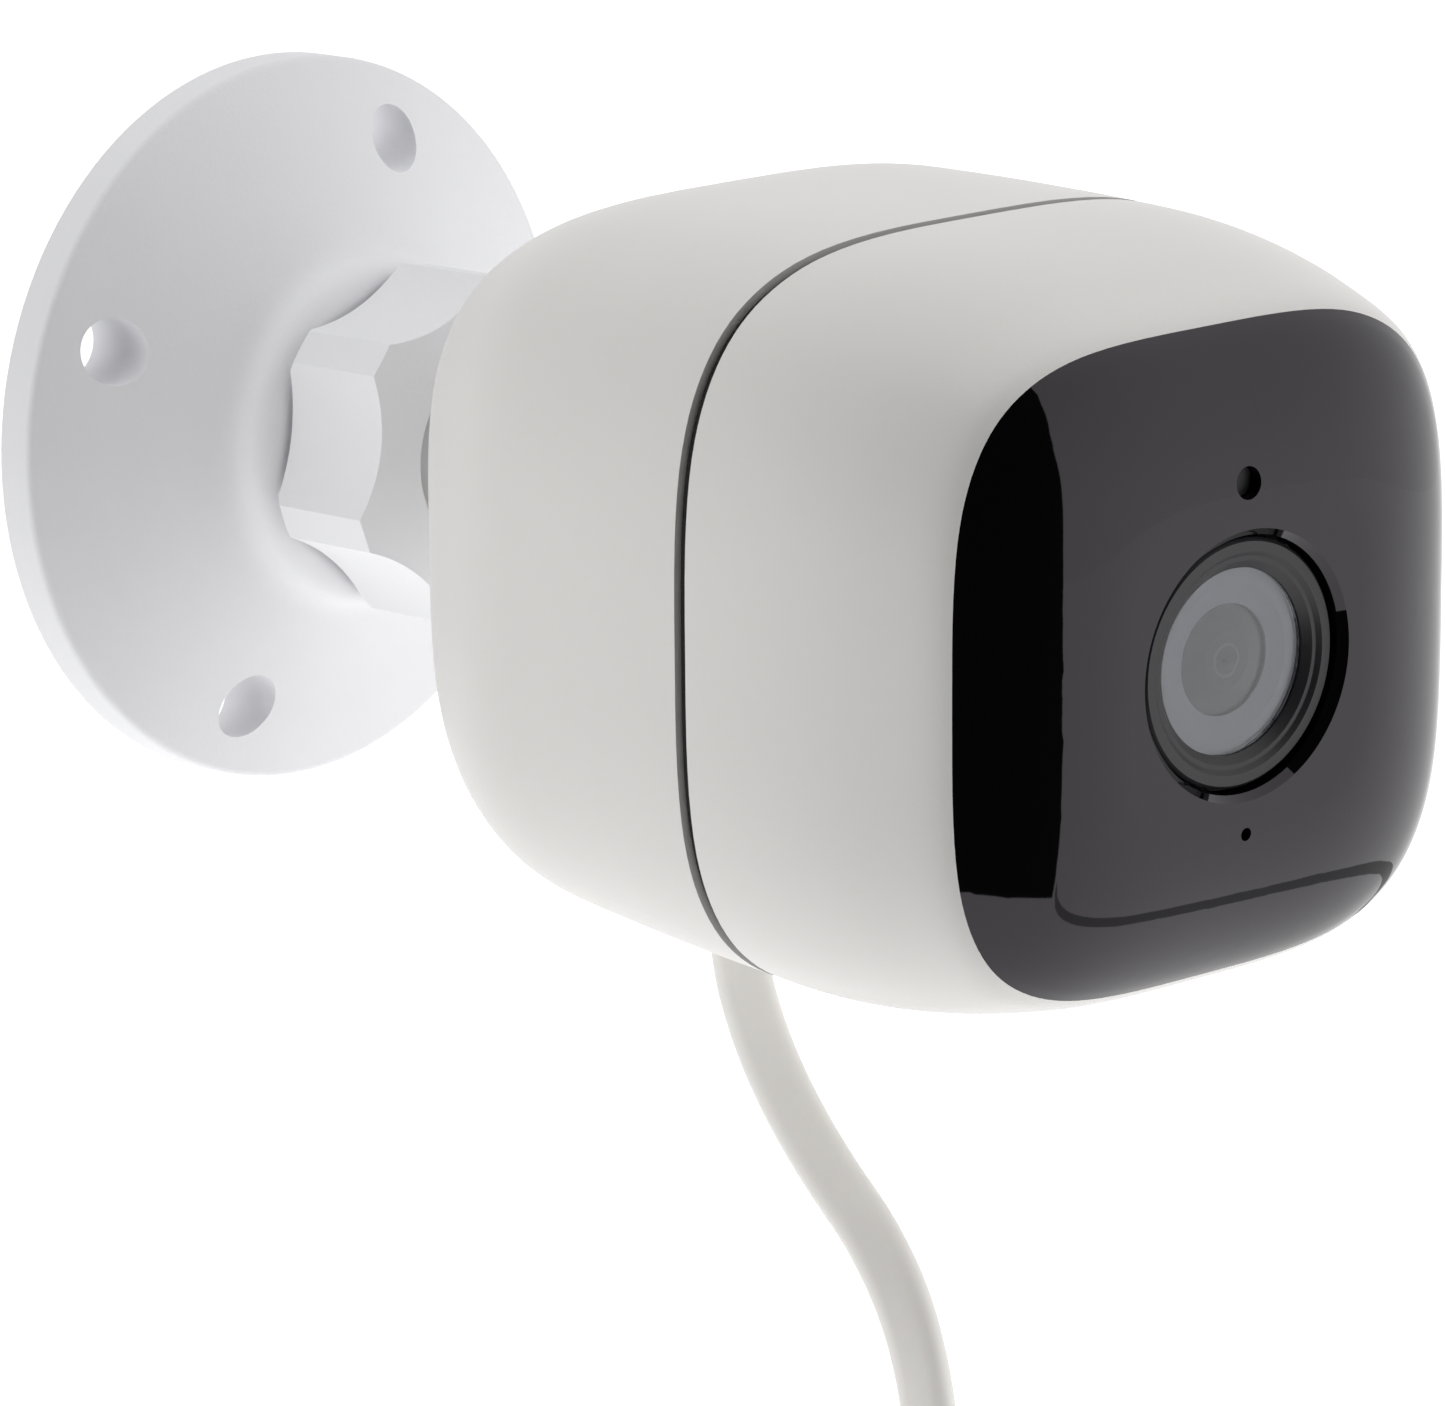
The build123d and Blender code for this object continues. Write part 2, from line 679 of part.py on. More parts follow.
with BuildPart() as lens_holder:
    with BuildSketch(station(main_board_station)):
        Rectangle(2 * holder_half, 2 * holder_half)
    extrude(amount=main_board_station - holder_front)
    with BuildSketch(station(main_board_station)):
        Circle(holder_bore)
    extrude(amount=main_board_station, mode=Mode.SUBTRACT)
    with BuildSketch(station(barrel_end + 0.2)):
        Circle(barrel_thread_radius + fit)
    extrude(amount=barrel_end, mode=Mode.SUBTRACT)
    with BuildSketch(station(main_board_station)):
        Rectangle(sensor_pocket[0], sensor_pocket[0])
    extrude(amount=sensor_pocket[1], mode=Mode.SUBTRACT)
    chamfer(lens_holder.edges().filter_by(lambda e: abs(e.length - main_board_station
                                                        + holder_front) < 0.01), length=holder_corner)
save(lens_holder, "lens_holder")

block("ir_cut_filter", (10.8, 10.8), (0, 0), main_board_station - 2.6, 0.6)
block("image_sensor", (8.4, 7.0), (0, 0), main_board_station, 1.4)
block("main_processor", (14, 14), (0, -12), main_board_station + board + 1.6, 1.6)
block("wifi_module", (14, 9), (0, 15), main_board_station + board + 1.8, 1.8)
block("board_connector", (18, 5), (0, 3), power_board_station,
      power_board_station - main_board_station - board)
block("power_inductor", (7, 7), (-9, 10), power_board_station + board + 4, 4)
block("lead_socket", (8, 5), (4, 10), power_board_station + board + 5, 5)
block("wifi_antenna", (28, 6.5), (0, power_board_size[1] / 2 + 3.25), power_board_station + 1.2, 0.8)

with BuildPart() as main_board:
    with BuildSketch(station(main_board_station + board)):
        Rectangle(*main_board_size)
        with board_posts():
            Circle(board_screw_radius + shell_screw_fit, mode=Mode.SUBTRACT)
    extrude(amount=board)
save(main_board, "main_board")

with BuildPart() as board_screws:
    with BuildSketch(station(main_board_station + board + board_screw_head[1])):
        with board_posts():
            Circle(board_screw_head[0])
    extrude(amount=board_screw_head[1])
    with BuildSketch(station(main_board_station + board)):
        with board_posts():
            Circle(board_screw_radius)
    extrude(amount=board_screw_length)
save(board_screws, "board_screws")

with BuildPart() as power_board:
    with BuildSketch(station(power_board_station + board)):
        Rectangle(*power_board_size)
    extrude(amount=board)
save(power_board, "power_board")

with BuildPart() as board_spacers:
    with BuildSketch(station(power_board_station)):
        with GridLocations(*spacer_pitch, 2, 2):
            RegularPolygon(spacer_radius, 6)
            Circle(spacer_bore, mode=Mode.SUBTRACT)
    extrude(amount=power_board_station - main_board_station - board)
save(board_spacers, "board_spacers")

with BuildPart() as sensor_board:
    with BuildSketch(station(sensor_board_station + board)):
        Circle(17)
        Rectangle(44, 20)
        Rectangle(14, 43)
        Circle(12.6, mode=Mode.SUBTRACT)
    extrude(amount=board)
save(sensor_board, "sensor_board")

with BuildPart() as ir_leds:
    with BuildSketch(station(sensor_board_station)):
        with GridLocations(2 * ir_spread, 0, 2, 1):
            Rectangle(3.5, 3.5)
    extrude(amount=1.4)
    with BuildSketch(station(sensor_board_station - 1.4)):
        with GridLocations(2 * ir_spread, 0, 2, 1):
            Circle(1.5)
    extrude(amount=1.4)
save(ir_leds, "ir_leds")

block("status_led", (1.6, 1.6), (10.2, 10.6), sensor_board_station, 0.8)
block("light_sensor", (3, 3), (0, light_height), sensor_board_station, 1.0)
block("microphone", (3.5, 2.8), (0, mic_height), sensor_board_station, 1.1)

with BuildPart() as light_pipe:
    with BuildSketch(station(sensor_board_station - 1.0)):
        with Locations((0, light_height)):
            Circle(light_radius - 0.1)
    extrude(amount=sensor_board_station - 1.0 - 1.2)
save(light_pipe, "light_pipe")

with BuildPart() as mic_seal:
    with BuildSketch(station(sensor_board_station - 1.1)):
        with Locations((0, mic_height)):
            Circle(mic_seal_radius)
            Circle(mic_radius + 0.2, mode=Mode.SUBTRACT)
    extrude(amount=sensor_board_station - 1.1 - panel_thickness)
save(mic_seal, "mic_seal")

with BuildPart() as card_slot:
    with BuildSketch(station(power_board_station + board + 1.9)):
        with Locations((0, card_top - 6)):
            Rectangle(14.6, 15)
    extrude(amount=1.9)
    with BuildSketch(station(power_board_station + board + 1.4)):
        with Locations((0, card_top - 8)):
            Rectangle(11.4, 17)
    extrude(amount=1.1, mode=Mode.SUBTRACT)
save(card_slot, "card_slot")
block("memory_card", card_size, (0, card_top - 7.4), power_board_station + board + 1.35,
      card_thickness)

with BuildPart() as shell_screws:
    with BuildSketch(station(shell_screw_seat)):
        with shell_posts():
            Circle(shell_screw_head[0])
    extrude(amount=shell_screw_head[1])
    with BuildSketch(station(shell_screw_end)):
        with shell_posts():
            Circle(shell_screw_radius)
    extrude(amount=shell_screw_end - shell_screw_seat)
save(shell_screws, "shell_screws")

# ==== speaker ========================================================================================
with BuildPart() as speaker_frame:
    with BuildSketch(level(speaker_floor)):
        with Locations((0, back(speaker_station))):
            Circle(speaker_radius)
    extrude(amount=speaker_height)
    with BuildSketch(level(speaker_floor)):
        with Locations((0, back(speaker_station))):
            Circle(speaker_radius - speaker_rim)
    extrude(amount=1.6, mode=Mode.SUBTRACT)
save(speaker_frame, "speaker_frame")

with BuildPart() as speaker_cone:
    with BuildSketch(level(speaker_floor + 0.9)):
        with Locations((0, back(speaker_station))):
            Circle(speaker_radius - 1.25)
    extrude(amount=0.7)
save(speaker_cone, "speaker_cone")

# ==== reset button ====================================================================================
with BuildPart() as reset_button:
    with BuildSketch(level(button_tip)):
        with Locations((reset_x, back(reset_station))):
            Circle(reset_hole_radius - button_fit)
    extrude(amount=button_top - button_tip)
    with BuildSketch(level(button_top - button_head[1])):
        with Locations((reset_x, back(reset_station))):
            Circle(button_head[0])
    extrude(amount=button_head[1])
save(reset_button, "reset_button")

with BuildPart() as reset_switch:
    with BuildSketch(level(button_top + button_travel + button_fit)):
        with Locations((reset_x, back(reset_station))):
            Rectangle(switch_size, switch_size)
    extrude(amount=switch_height)
save(reset_switch, "reset_switch")

# ==== gland and lead ==================================================================================
collar_top = gland_end + gland_collar[1]
with BuildPart() as cable_gland:
    for bottom, top, radius in ((gland_seat, gland_seat + gland_flange[1], gland_flange[0]),
                                (collar_top, gland_seat, gland_hole - button_fit),
                                (gland_end, collar_top, gland_collar[0])):
        with BuildSketch(level(bottom)):
            with Locations((0, back(gland_station))):
                Circle(radius)
        extrude(amount=top - bottom)
save(cable_gland, "cable_gland")


def head_point(across, behind, height):
    """Point in the object's frame from its place across, behind the front face and over the axis."""
    return head_plane.from_local_coords(Vector(across, back(behind), height))


def tube(name, route, radius):
    """Tube along straight runs joined by arcs, each arc as large as its two runs allow."""
    points = [head_point(*place) for place in route]
    radii = []
    for before, here, after in zip(points, points[1:], points[2:]):
        turn = radians((here - before).get_angle(after - here))
        shorter = min((here - before).length, (after - here).length)
        radii.append(0.45 * shorter / tan(turn / 2))
    with BuildPart() as piece:
        with BuildLine() as path:
            FilletPolyline(*points, radius=radii)
        route_wire = path.wires()[0]
        with BuildSketch(Plane(origin=route_wire @ 0, z_dir=route_wire % 0)):
            Circle(radius)
        sweep(path=route_wire)
    length = route_wire.length
    print(name, "length", round(length, 1), "radii", [round(value, 1) for value in radii],
          "volume ratio", round(piece.part.volume / (pi * radius**2 * length), 4))
    save(piece, name)


# across, behind the front face, height over the lens axis
lead_route = [(0, 67.0, -33.5), (0, 66.24, -40.8), (0, 63.3, -47.4), (0, 58.8, -53.2),
              (0, 53.4, -58.1), (0, 47.5, -62.4), (0, 43.0, -68.1), (0, 40.4, -75.0),
              (0, 39.5, -82.2), (-0.2, 39.4, -88.6), (-1.6, 39.2, -94.4), (-4.4, 39.1, -99.7),
              (-8.4, 39.1, -104.2), (-13.3, 39.2, -107.5), (-17.7, 39.3, -109.4)]
tube("power_lead", lead_route, lead_radius)

coil_middle = (-3.0, 39.4, -138.9)
coil_plane = Plane(origin=head_point(*coil_middle), x_dir=lens_plane.x_dir, z_dir=lens_plane.z_dir)
coil_axis = Axis(coil_plane.origin, coil_plane.z_dir)


def coil_section(turn):
    """Plane across the coil's bundle at this turn round it: X outwards, Y along the coil's axis."""
    outwards = coil_plane.x_dir * cos(radians(turn)) + coil_plane.y_dir * sin(radians(turn))
    along = coil_plane.y_dir * cos(radians(turn)) - coil_plane.x_dir * sin(radians(turn))
    return Plane(origin=coil_plane.origin + outwards * coil_turn_radius, x_dir=outwards,
                 z_dir=-along)


with BuildPart() as lead_coil:
    with BuildSketch(coil_section(0)):
        RectangleRounded(coil_thickness, coil_thickness, coil_corner)
    revolve(axis=coil_axis)
save(lead_coil, "lead_coil")

tie_inner = coil_thickness + 2 * tie_slack
tie_outer = tie_inner + 2 * tie_thickness
with BuildPart() as coil_ties:
    for turn in (75, 255):
        with BuildSketch(coil_section(turn)):
            RectangleRounded(tie_outer, tie_outer, coil_corner + tie_thickness)
            RectangleRounded(tie_inner, tie_inner, coil_corner, mode=Mode.SUBTRACT)
        extrude(amount=tie_width / 2, both=True)
save(coil_ties, "coil_ties")


def by_coil(across, height, ahead):
    """Place in the lead's terms of a point on the coil's own axes."""
    return (coil_middle[0] + across, coil_middle[1] - ahead, coil_middle[2] + height)


tail_route = [by_coil(*place) for place in (
    (-14.0, 24.2, 5.2), (-18.3, 21.7, 5.9), (-22.1, 18.4, 7.3), (-25.0, 14.3, 9.1),
    (-27.0, 9.7, 10.8), (-28.1, 4.8, 12.0), (-28.3, -0.2, 12.4))]
tube("lead_tail", tail_route, lead_radius)

plug_plane = Plane(origin=head_point(*tail_route[-1]), x_dir=head_plane.x_dir,
                   z_dir=-head_plane.z_dir)
plug_width, plug_thickness, plug_length = plug_size
plug_end = relief_length + plug_length

with BuildPart() as plug_body:
    with BuildSketch(plug_plane):
        Circle(lead_radius + relief_wall[0])
    with BuildSketch(plug_plane.offset(relief_length)):
        Circle(lead_radius + relief_wall[1])
    loft()
    with BuildSketch(plug_plane.offset(relief_length)):
        RectangleRounded(plug_width, plug_thickness, plug_corner)
    extrude(amount=plug_length)
save(plug_body, "plug_body")

with BuildPart() as plug_shell:
    with BuildSketch(plug_plane.offset(plug_end)):
        RectangleRounded(*plug_shell_size[:2], 0.5)
        RectangleRounded(plug_shell_size[0] - 2 * plug_shell_wall,
                         plug_shell_size[1] - 2 * plug_shell_wall, 0.3, mode=Mode.SUBTRACT)
    extrude(amount=plug_shell_size[2])
save(plug_shell, "plug_shell")

with BuildPart() as plug_tongue:
    with BuildSketch(plug_plane.offset(plug_end)):
        with Locations((0, plug_tongue_off)):
            Rectangle(*plug_tongue_size[:2])
    extrude(amount=plug_tongue_size[2])
save(plug_tongue, "plug_tongue")

# ==== lead inside the head =============================================================================
with BuildPart() as lead_wires:
    with BuildLine() as wires_path:
        FilletPolyline(head_point(0, gland_station, gland_seat + 1.5), head_point(0, 66.5, -6),
                       head_point(3, 58, 6), head_point(4, power_board_station + board + 5, 10),
                       radius=[9, 9])
    wires_wire = wires_path.wires()[0]
    with BuildSketch(Plane(origin=wires_wire @ 0, z_dir=wires_wire % 0)):
        Circle(wires_radius)
    sweep(path=wires_wire)
save(lead_wires, "lead_wires")
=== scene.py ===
import json
import math

import bpy
import numpy as np
from mathutils import Matrix, Vector


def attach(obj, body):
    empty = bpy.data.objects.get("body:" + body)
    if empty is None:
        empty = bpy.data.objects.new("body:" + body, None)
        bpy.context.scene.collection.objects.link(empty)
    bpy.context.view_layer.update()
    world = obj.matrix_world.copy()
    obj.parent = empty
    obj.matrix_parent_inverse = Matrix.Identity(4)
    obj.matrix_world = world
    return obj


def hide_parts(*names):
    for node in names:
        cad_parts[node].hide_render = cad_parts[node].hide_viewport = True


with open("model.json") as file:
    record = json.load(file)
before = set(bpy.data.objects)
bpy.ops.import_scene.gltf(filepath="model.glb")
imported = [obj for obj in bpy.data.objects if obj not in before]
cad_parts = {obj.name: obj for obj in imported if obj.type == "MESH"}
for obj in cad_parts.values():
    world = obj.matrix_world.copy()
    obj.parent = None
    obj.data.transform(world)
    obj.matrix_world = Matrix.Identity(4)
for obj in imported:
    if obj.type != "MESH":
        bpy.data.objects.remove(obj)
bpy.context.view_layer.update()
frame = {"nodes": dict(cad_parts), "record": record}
scene = bpy.context.scene

# ---- Camera --------------------------------------------------------------------------------------
# A long lens a little above the head and well to its left, so that the wall plate shows behind it.
VIEW_AZIMUTH, VIEW_ELEVATION, VIEW_ROLL = -46.17, 14.04, -1.47
VIEW_DISTANCE = 0.6917           # metres, from the point that the lens looks at
VIEW_TARGET = Vector((-0.0018, -0.0600, -0.0189))
SENSOR_MM = 36.0
FOCAL_IN_WIDTHS = 5.2865
FAR_CLIP = 20


def toward(azimuth, elevation):
    """Unit vector at an azimuth (0 in front, +90 to +X) and an elevation, in degrees."""
    a, e = math.radians(azimuth), math.radians(elevation)
    return Vector((math.sin(a) * math.cos(e), -math.cos(a) * math.cos(e), math.sin(e)))


def facing(target, place, roll=0.0):
    """World matrix of a camera or light at a place, looking at the target, rolled about its axis."""
    back = (place - target).normalized()
    right = Vector((0, 0, 1)).cross(back).normalized()
    turn = Matrix((right, back.cross(right), back)).transposed().to_4x4()
    return Matrix.Translation(place) @ turn @ Matrix.Rotation(math.radians(roll), 4, "Z")


camera = bpy.data.objects.new("camera", bpy.data.cameras.new("camera"))
scene.collection.objects.link(camera)
camera.data.sensor_width = SENSOR_MM
camera.data.lens = FOCAL_IN_WIDTHS * SENSOR_MM
camera.data.clip_end = FAR_CLIP
view_from = VIEW_TARGET + toward(VIEW_AZIMUTH, VIEW_ELEVATION) * VIEW_DISTANCE
camera.matrix_world = facing(VIEW_TARGET, view_from, VIEW_ROLL)
scene.camera = camera
scene.view_settings.view_transform = "Standard"

# ---- Lead ----------------------------------------------------------------------------------------
# White PVC lead, flat-oval with a shallow groove between its two cores. It drops out of the gland,
# swings forward, and the rest of its length is wound in a tied coil with the plug beside it.
MM = 0.001
BALL = np.array([0.0, -0.025, 0.0])
FRONT_REACH = 0.1064             # from the ball's middle to the front face
HEAD_PAN, HEAD_TILT = math.radians(-6.7), math.radians(1.5)
HEAD_TURN = np.array(Matrix.Rotation(HEAD_PAN, 3, "Z") @ Matrix.Rotation(HEAD_TILT, 3, "X"))
LEAD_WIDTH, LEAD_THICKNESS = 5.2 * MM, 3.2 * MM
LEAD_GROOVE, GROOVE_WIDTH = 0.10, 0.22   # shares of the half-thickness and of the half-width


def from_head(places):
    """Row-frame points of places given across, behind the front face and over the lens axis."""
    local = np.array(places, dtype=float) - (0, FRONT_REACH, 0)
    return local @ HEAD_TURN.T + BALL


# The drop's points are listed: across, behind the front face, and over the lens axis.
drop = [(0, 0.0670, -0.0335), (0, 0.06624, -0.0408), (0, 0.0633, -0.0474), (0, 0.0588, -0.0532),
        (0, 0.0534, -0.0581), (0, 0.0475, -0.0624), (0, 0.0430, -0.0681), (0, 0.0404, -0.0750),
        (0, 0.0395, -0.0822), (-0.0002, 0.0394, -0.0886), (-0.0016, 0.0392, -0.0944),
        (-0.0044, 0.0391, -0.0997), (-0.0084, 0.0391, -0.1042), (-0.0133, 0.0392, -0.1075),
        (-0.0177, 0.0393, -0.1094)]
COIL_MIDDLE = np.array([-0.0030, 0.0394, -0.1389])
COIL_RADIUS = 0.0280
# Each turn's place in the bundle: layers out from the mean radius, and rows ahead of the middle.
TURN_CELLS = [(1, 0), (1, -1), (0, -1), (-1, -1), (-1, 0), (0, 0), (1, 1), (0, 1)]
POINTS_A_TURN = 20
COIL_START = 116.5
STEP_SPAN = 40.0                 # ring angle over which a turn moves to its next place
STEP_FIRST, STEP_PITCH = 330.0, 45.0


def coil_turns():
    """Centreline points of the coil, across, behind and over. Turn k runs round at the radius and
    row of its place, and eases into the place of turn k + 1 within its own span of ring angle."""
    turn = np.arange(1, POINTS_A_TURN * (len(TURN_CELLS) - 1)) * 360.0 / POINTS_A_TURN
    lap = np.floor(turn / 360).astype(int)
    middle = STEP_FIRST - STEP_PITCH * lap
    ease = np.clip((turn % 360 - middle) / STEP_SPAN + 0.5, 0, 1)
    ease = (ease * ease * (3 - 2 * ease))[:, None]
    cells = np.array(TURN_CELLS)
    cell = cells[lap] * (1 - ease) + cells[lap + 1] * ease
    radius = (COIL_RADIUS + cell[:, 0] * LEAD_WIDTH) / math.cos(math.pi / POINTS_A_TURN)
    ring = np.radians(COIL_START + turn)
    return np.stack([COIL_MIDDLE[0] + radius * np.cos(ring), COIL_MIDDLE[1] - cell[:, 1] * LEAD_WIDTH,
                     COIL_MIDDLE[2] + radius * np.sin(ring)], axis=1)


# The tail leaves the coil and drops to the plug: across, over and ahead of the coil's middle.
tail = [(-0.0140, 0.0242, 0.0052), (-0.0183, 0.0217, 0.0059), (-0.0221, 0.0184, 0.0073),
        (-0.0250, 0.0143, 0.0091), (-0.0270, 0.0097, 0.0108), (-0.0281, 0.0048, 0.0120),
        (-0.0283, -0.0002, 0.0124)]
tail = [(COIL_MIDDLE[0] + a, COIL_MIDDLE[1] - c, COIL_MIDDLE[2] + b) for a, b, c in tail]
lead_points = from_head(np.concatenate([drop, coil_turns(), tail]))

route = bpy.data.curves.new("lead route", "CURVE")
route.dimensions = "3D"
route.resolution_u = 8
spline = route.splines.new("NURBS")
spline.points.add(len(lead_points) - 1)
spline.points.foreach_set("co", np.c_[lead_points, np.ones(len(lead_points))].ravel())
spline.order_u = 3
spline.use_endpoint_u = True
route_object = bpy.data.objects.new("lead route", route)
line_mesh = bpy.data.meshes.new_from_object(route_object)
line = np.empty(len(line_mesh.vertices) * 3)
line_mesh.vertices.foreach_get("co", line)
line = line.reshape(-1, 3)
bpy.data.meshes.remove(line_mesh)
bpy.data.objects.remove(route_object)
bpy.data.curves.remove(route)


def shell_mesh(name, *grids, ends="fan"):
    """Mesh of closed shells, each a grid of points, rings by places round each ring. Rings are closed.
    The two ends are each closed by a fan to the middle of their ring, or the last ring loops back to
    the first."""
    points, faces, start = [], [], 0
    for grid in grids:
        rings, around = grid.shape[:2]
        corner = start + np.arange(rings * around).reshape(rings, around)
        points.append(grid.reshape(-1, 3))
        start += rings * around
        if ends == "loop":
            corner = np.concatenate([corner, corner[:1]])
        after = np.roll(corner, -1, axis=1)
        quads = np.stack([corner[:-1], after[:-1], after[1:], corner[1:]], axis=-1)
        faces += quads.reshape(-1, 4).tolist()
        if ends == "fan":
            points.append([grid[0].mean(axis=0), grid[-1].mean(axis=0)])
            faces += np.stack([after[0], corner[0], np.full(around, start)], axis=-1).tolist()
            faces += np.stack([corner[-1], after[-1], np.full(around, start + 1)], axis=-1).tolist()
            start += 2
    mesh = bpy.data.meshes.new(name)
    mesh.from_pydata(np.concatenate(points).tolist(), [], faces)
    mesh.polygons.foreach_set("use_smooth", [True] * len(mesh.polygons))
    return mesh


def piece(name, mesh):
    """Object at the origin for a finished mesh."""
    made = bpy.data.objects.new(name, mesh)
    scene.collection.objects.link(made)
    return made


SIDES = 24
# How far the flat section has turned, in degrees, at distances along the drop.
WIDTH_TURN = [(0.0, 46), (0.030, 50), (0.060, 78), (0.085, 122), (0.105, 118), (0.125, 90)]
TAIL_REACH, PLUG_REACH = 34 * MM, 4 * MM     # from the lead's end, where the last turn starts and ends
ACROSS, AHEAD = HEAD_TURN[:, 0], -HEAD_TURN[:, 1]


def flat_lead(line):
    """Rings of the flat-oval section along the line. The section's long side points across * cos t +
    ahead * sin t, squared to the line; t turns down the drop, is 90 in the coil, and 180 at the plug.
    Round the section, x = w/2 * cos|cos|^-0.3 and y = h/2 * sin|sin|^-0.15, less a bell at x = 0."""
    steps = np.linalg.norm(np.diff(line, axis=0), axis=1)
    along = np.concatenate([[0], np.cumsum(steps)])
    reach, turn = np.array(WIDTH_TURN).T
    reach = np.append(reach, [along[-1] - TAIL_REACH, along[-1] - PLUG_REACH])
    t = np.radians(np.interp(along, reach, np.append(turn, [90, 180])))[:, None]
    tangent = np.gradient(line, along, axis=0)
    tangent /= np.linalg.norm(tangent, axis=1)[:, None]
    long_side = ACROSS * np.cos(t) + AHEAD * np.sin(t)
    long_side -= tangent * (long_side * tangent).sum(axis=1)[:, None]
    long_side /= np.linalg.norm(long_side, axis=1)[:, None]
    short_side = np.cross(tangent, long_side)
    s = np.arange(SIDES) * 2 * np.pi / SIDES
    x = np.sign(np.cos(s)) * np.abs(np.cos(s)) ** 0.7
    groove = 1 - LEAD_GROOVE * np.exp(-((x / GROOVE_WIDTH) ** 2))
    y = np.sign(np.sin(s)) * np.abs(np.sin(s)) ** 0.85 * groove
    x, y = x * LEAD_WIDTH / 2, y * LEAD_THICKNESS / 2
    return line[:, None] + x[None, :, None] * long_side[:, None] + y[None, :, None] * short_side[:, None]


lead = piece("power_lead_and_coil", shell_mesh("power lead", flat_lead(line)))
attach(lead, "head")
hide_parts("power_lead", "lead_coil", "lead_tail")


def linear(code):
    """sRGB hex code as linear red, green, blue and full alpha."""
    parts = np.array([int(code[i:i + 2], 16) for i in (1, 3, 5)]) / 255
    return (*np.where(parts <= 0.04045, parts / 12.92, ((parts + 0.055) / 1.055) ** 2.4), 1.0)


def add(tree, kind, sockets, **settings):
    """Adds one node; a socket given as (node, output) is linked, any other value is set on it."""
    made = tree.nodes.new(kind)
    for name, value in settings.items():
        setattr(made, name, value)
    for name, value in sockets.items():
        if isinstance(value, tuple) and isinstance(value[0], bpy.types.Node):
            tree.links.new(value[0].outputs[value[1]], made.inputs[name])
        else:
            made.inputs[name].default_value = value
    return made


def begin(name, **sockets):
    """New material: its node tree, its shader with these sockets set, and its Object coordinates."""
    made = bpy.data.materials.new(name)
    made.use_nodes = True
    tree = made.node_tree
    shader = tree.nodes["Principled BSDF"]
    for socket, value in sockets.items():
        shader.inputs[socket.replace("_", " ")].default_value = value
    return made, tree, shader, add(tree, "ShaderNodeTexCoord", {})


def spread(tree, shader, where, tones, patch_mm, detail=3.0):
    """Colour that drifts between two tones in soft patches of about this size."""
    patches = add(tree, "ShaderNodeTexNoise", {"Vector": (where, "Object"), "Scale": 1 / (patch_mm * MM),
                                              "Detail": detail})
    tone = add(tree, "ShaderNodeMix", {0: (patches, "Fac"), 6: linear(tones[0]), 7: linear(tones[1])},
               data_type="RGBA")
    tree.links.new(tone.outputs[2], shader.inputs["Base Color"])


def grain(tree, shader, where, grain_mm, height_mm, rough):
    """Fine moulded grain: bump of this height, and roughness between two values with it."""
    grit = add(tree, "ShaderNodeTexNoise", {"Vector": (where, "Object"), "Scale": 1 / (grain_mm * MM),
                                           "Detail": 2.0})
    worn = add(tree, "ShaderNodeMapRange", {"Value": (grit, "Fac"), "To Min": rough[0], "To Max": rough[1]})
    tree.links.new(worn.outputs["Result"], shader.inputs["Roughness"])
    bump = add(tree, "ShaderNodeBump", {"Height": (grit, "Fac"), "Distance": height_mm * MM})
    tree.links.new(bump.outputs["Normal"], shader.inputs["Normal"])


nodes = frame["nodes"]


def dress(material, *names):
    """Puts a material on CAD nodes or on new pieces, in place of what they had."""
    for name in names:
        target = nodes[name] if isinstance(name, str) else name
        target.data.materials.clear()
        target.data.materials.append(material)


# Soft white PVC: extruded, so smooth and faintly waxy, a little yellower than the mouldings.
pvc, tree, shader, where = begin("extruded white PVC", IOR=1.53, Subsurface_Weight=0.08,
                                 Subsurface_Scale=0.002)
spread(tree, shader, where, ("#FBF9F5", "#F7F5F0"), patch_mm=9)
grain(tree, shader, where, grain_mm=0.5, height_mm=0.012, rough=(0.36, 0.48))
dress(pvc, lead, "lead_wires")

# ---- Coil ties -----------------------------------------------------------------------------------
# Two black hook-and-loop straps hold the coil: woven nylon, each closed with a lap. The weave is
# plain, with threads about 0.6 mm apart, drawn twice as coarse so that it shows.
TIE_TURNS = (75.0, 255.0)
TIE_WIDTH, TIE_THICKNESS = 9.0 * MM, 0.9 * MM
TIE_HALF, TIE_POWER = 8.5 * MM, 4.5
LAP_FROM, LAP_TO = 0.9, 1.12     # turns at which the strap steps out over itself, and ends
FIRST_ANGLE = -0.9
STRAP_SIDES = 12


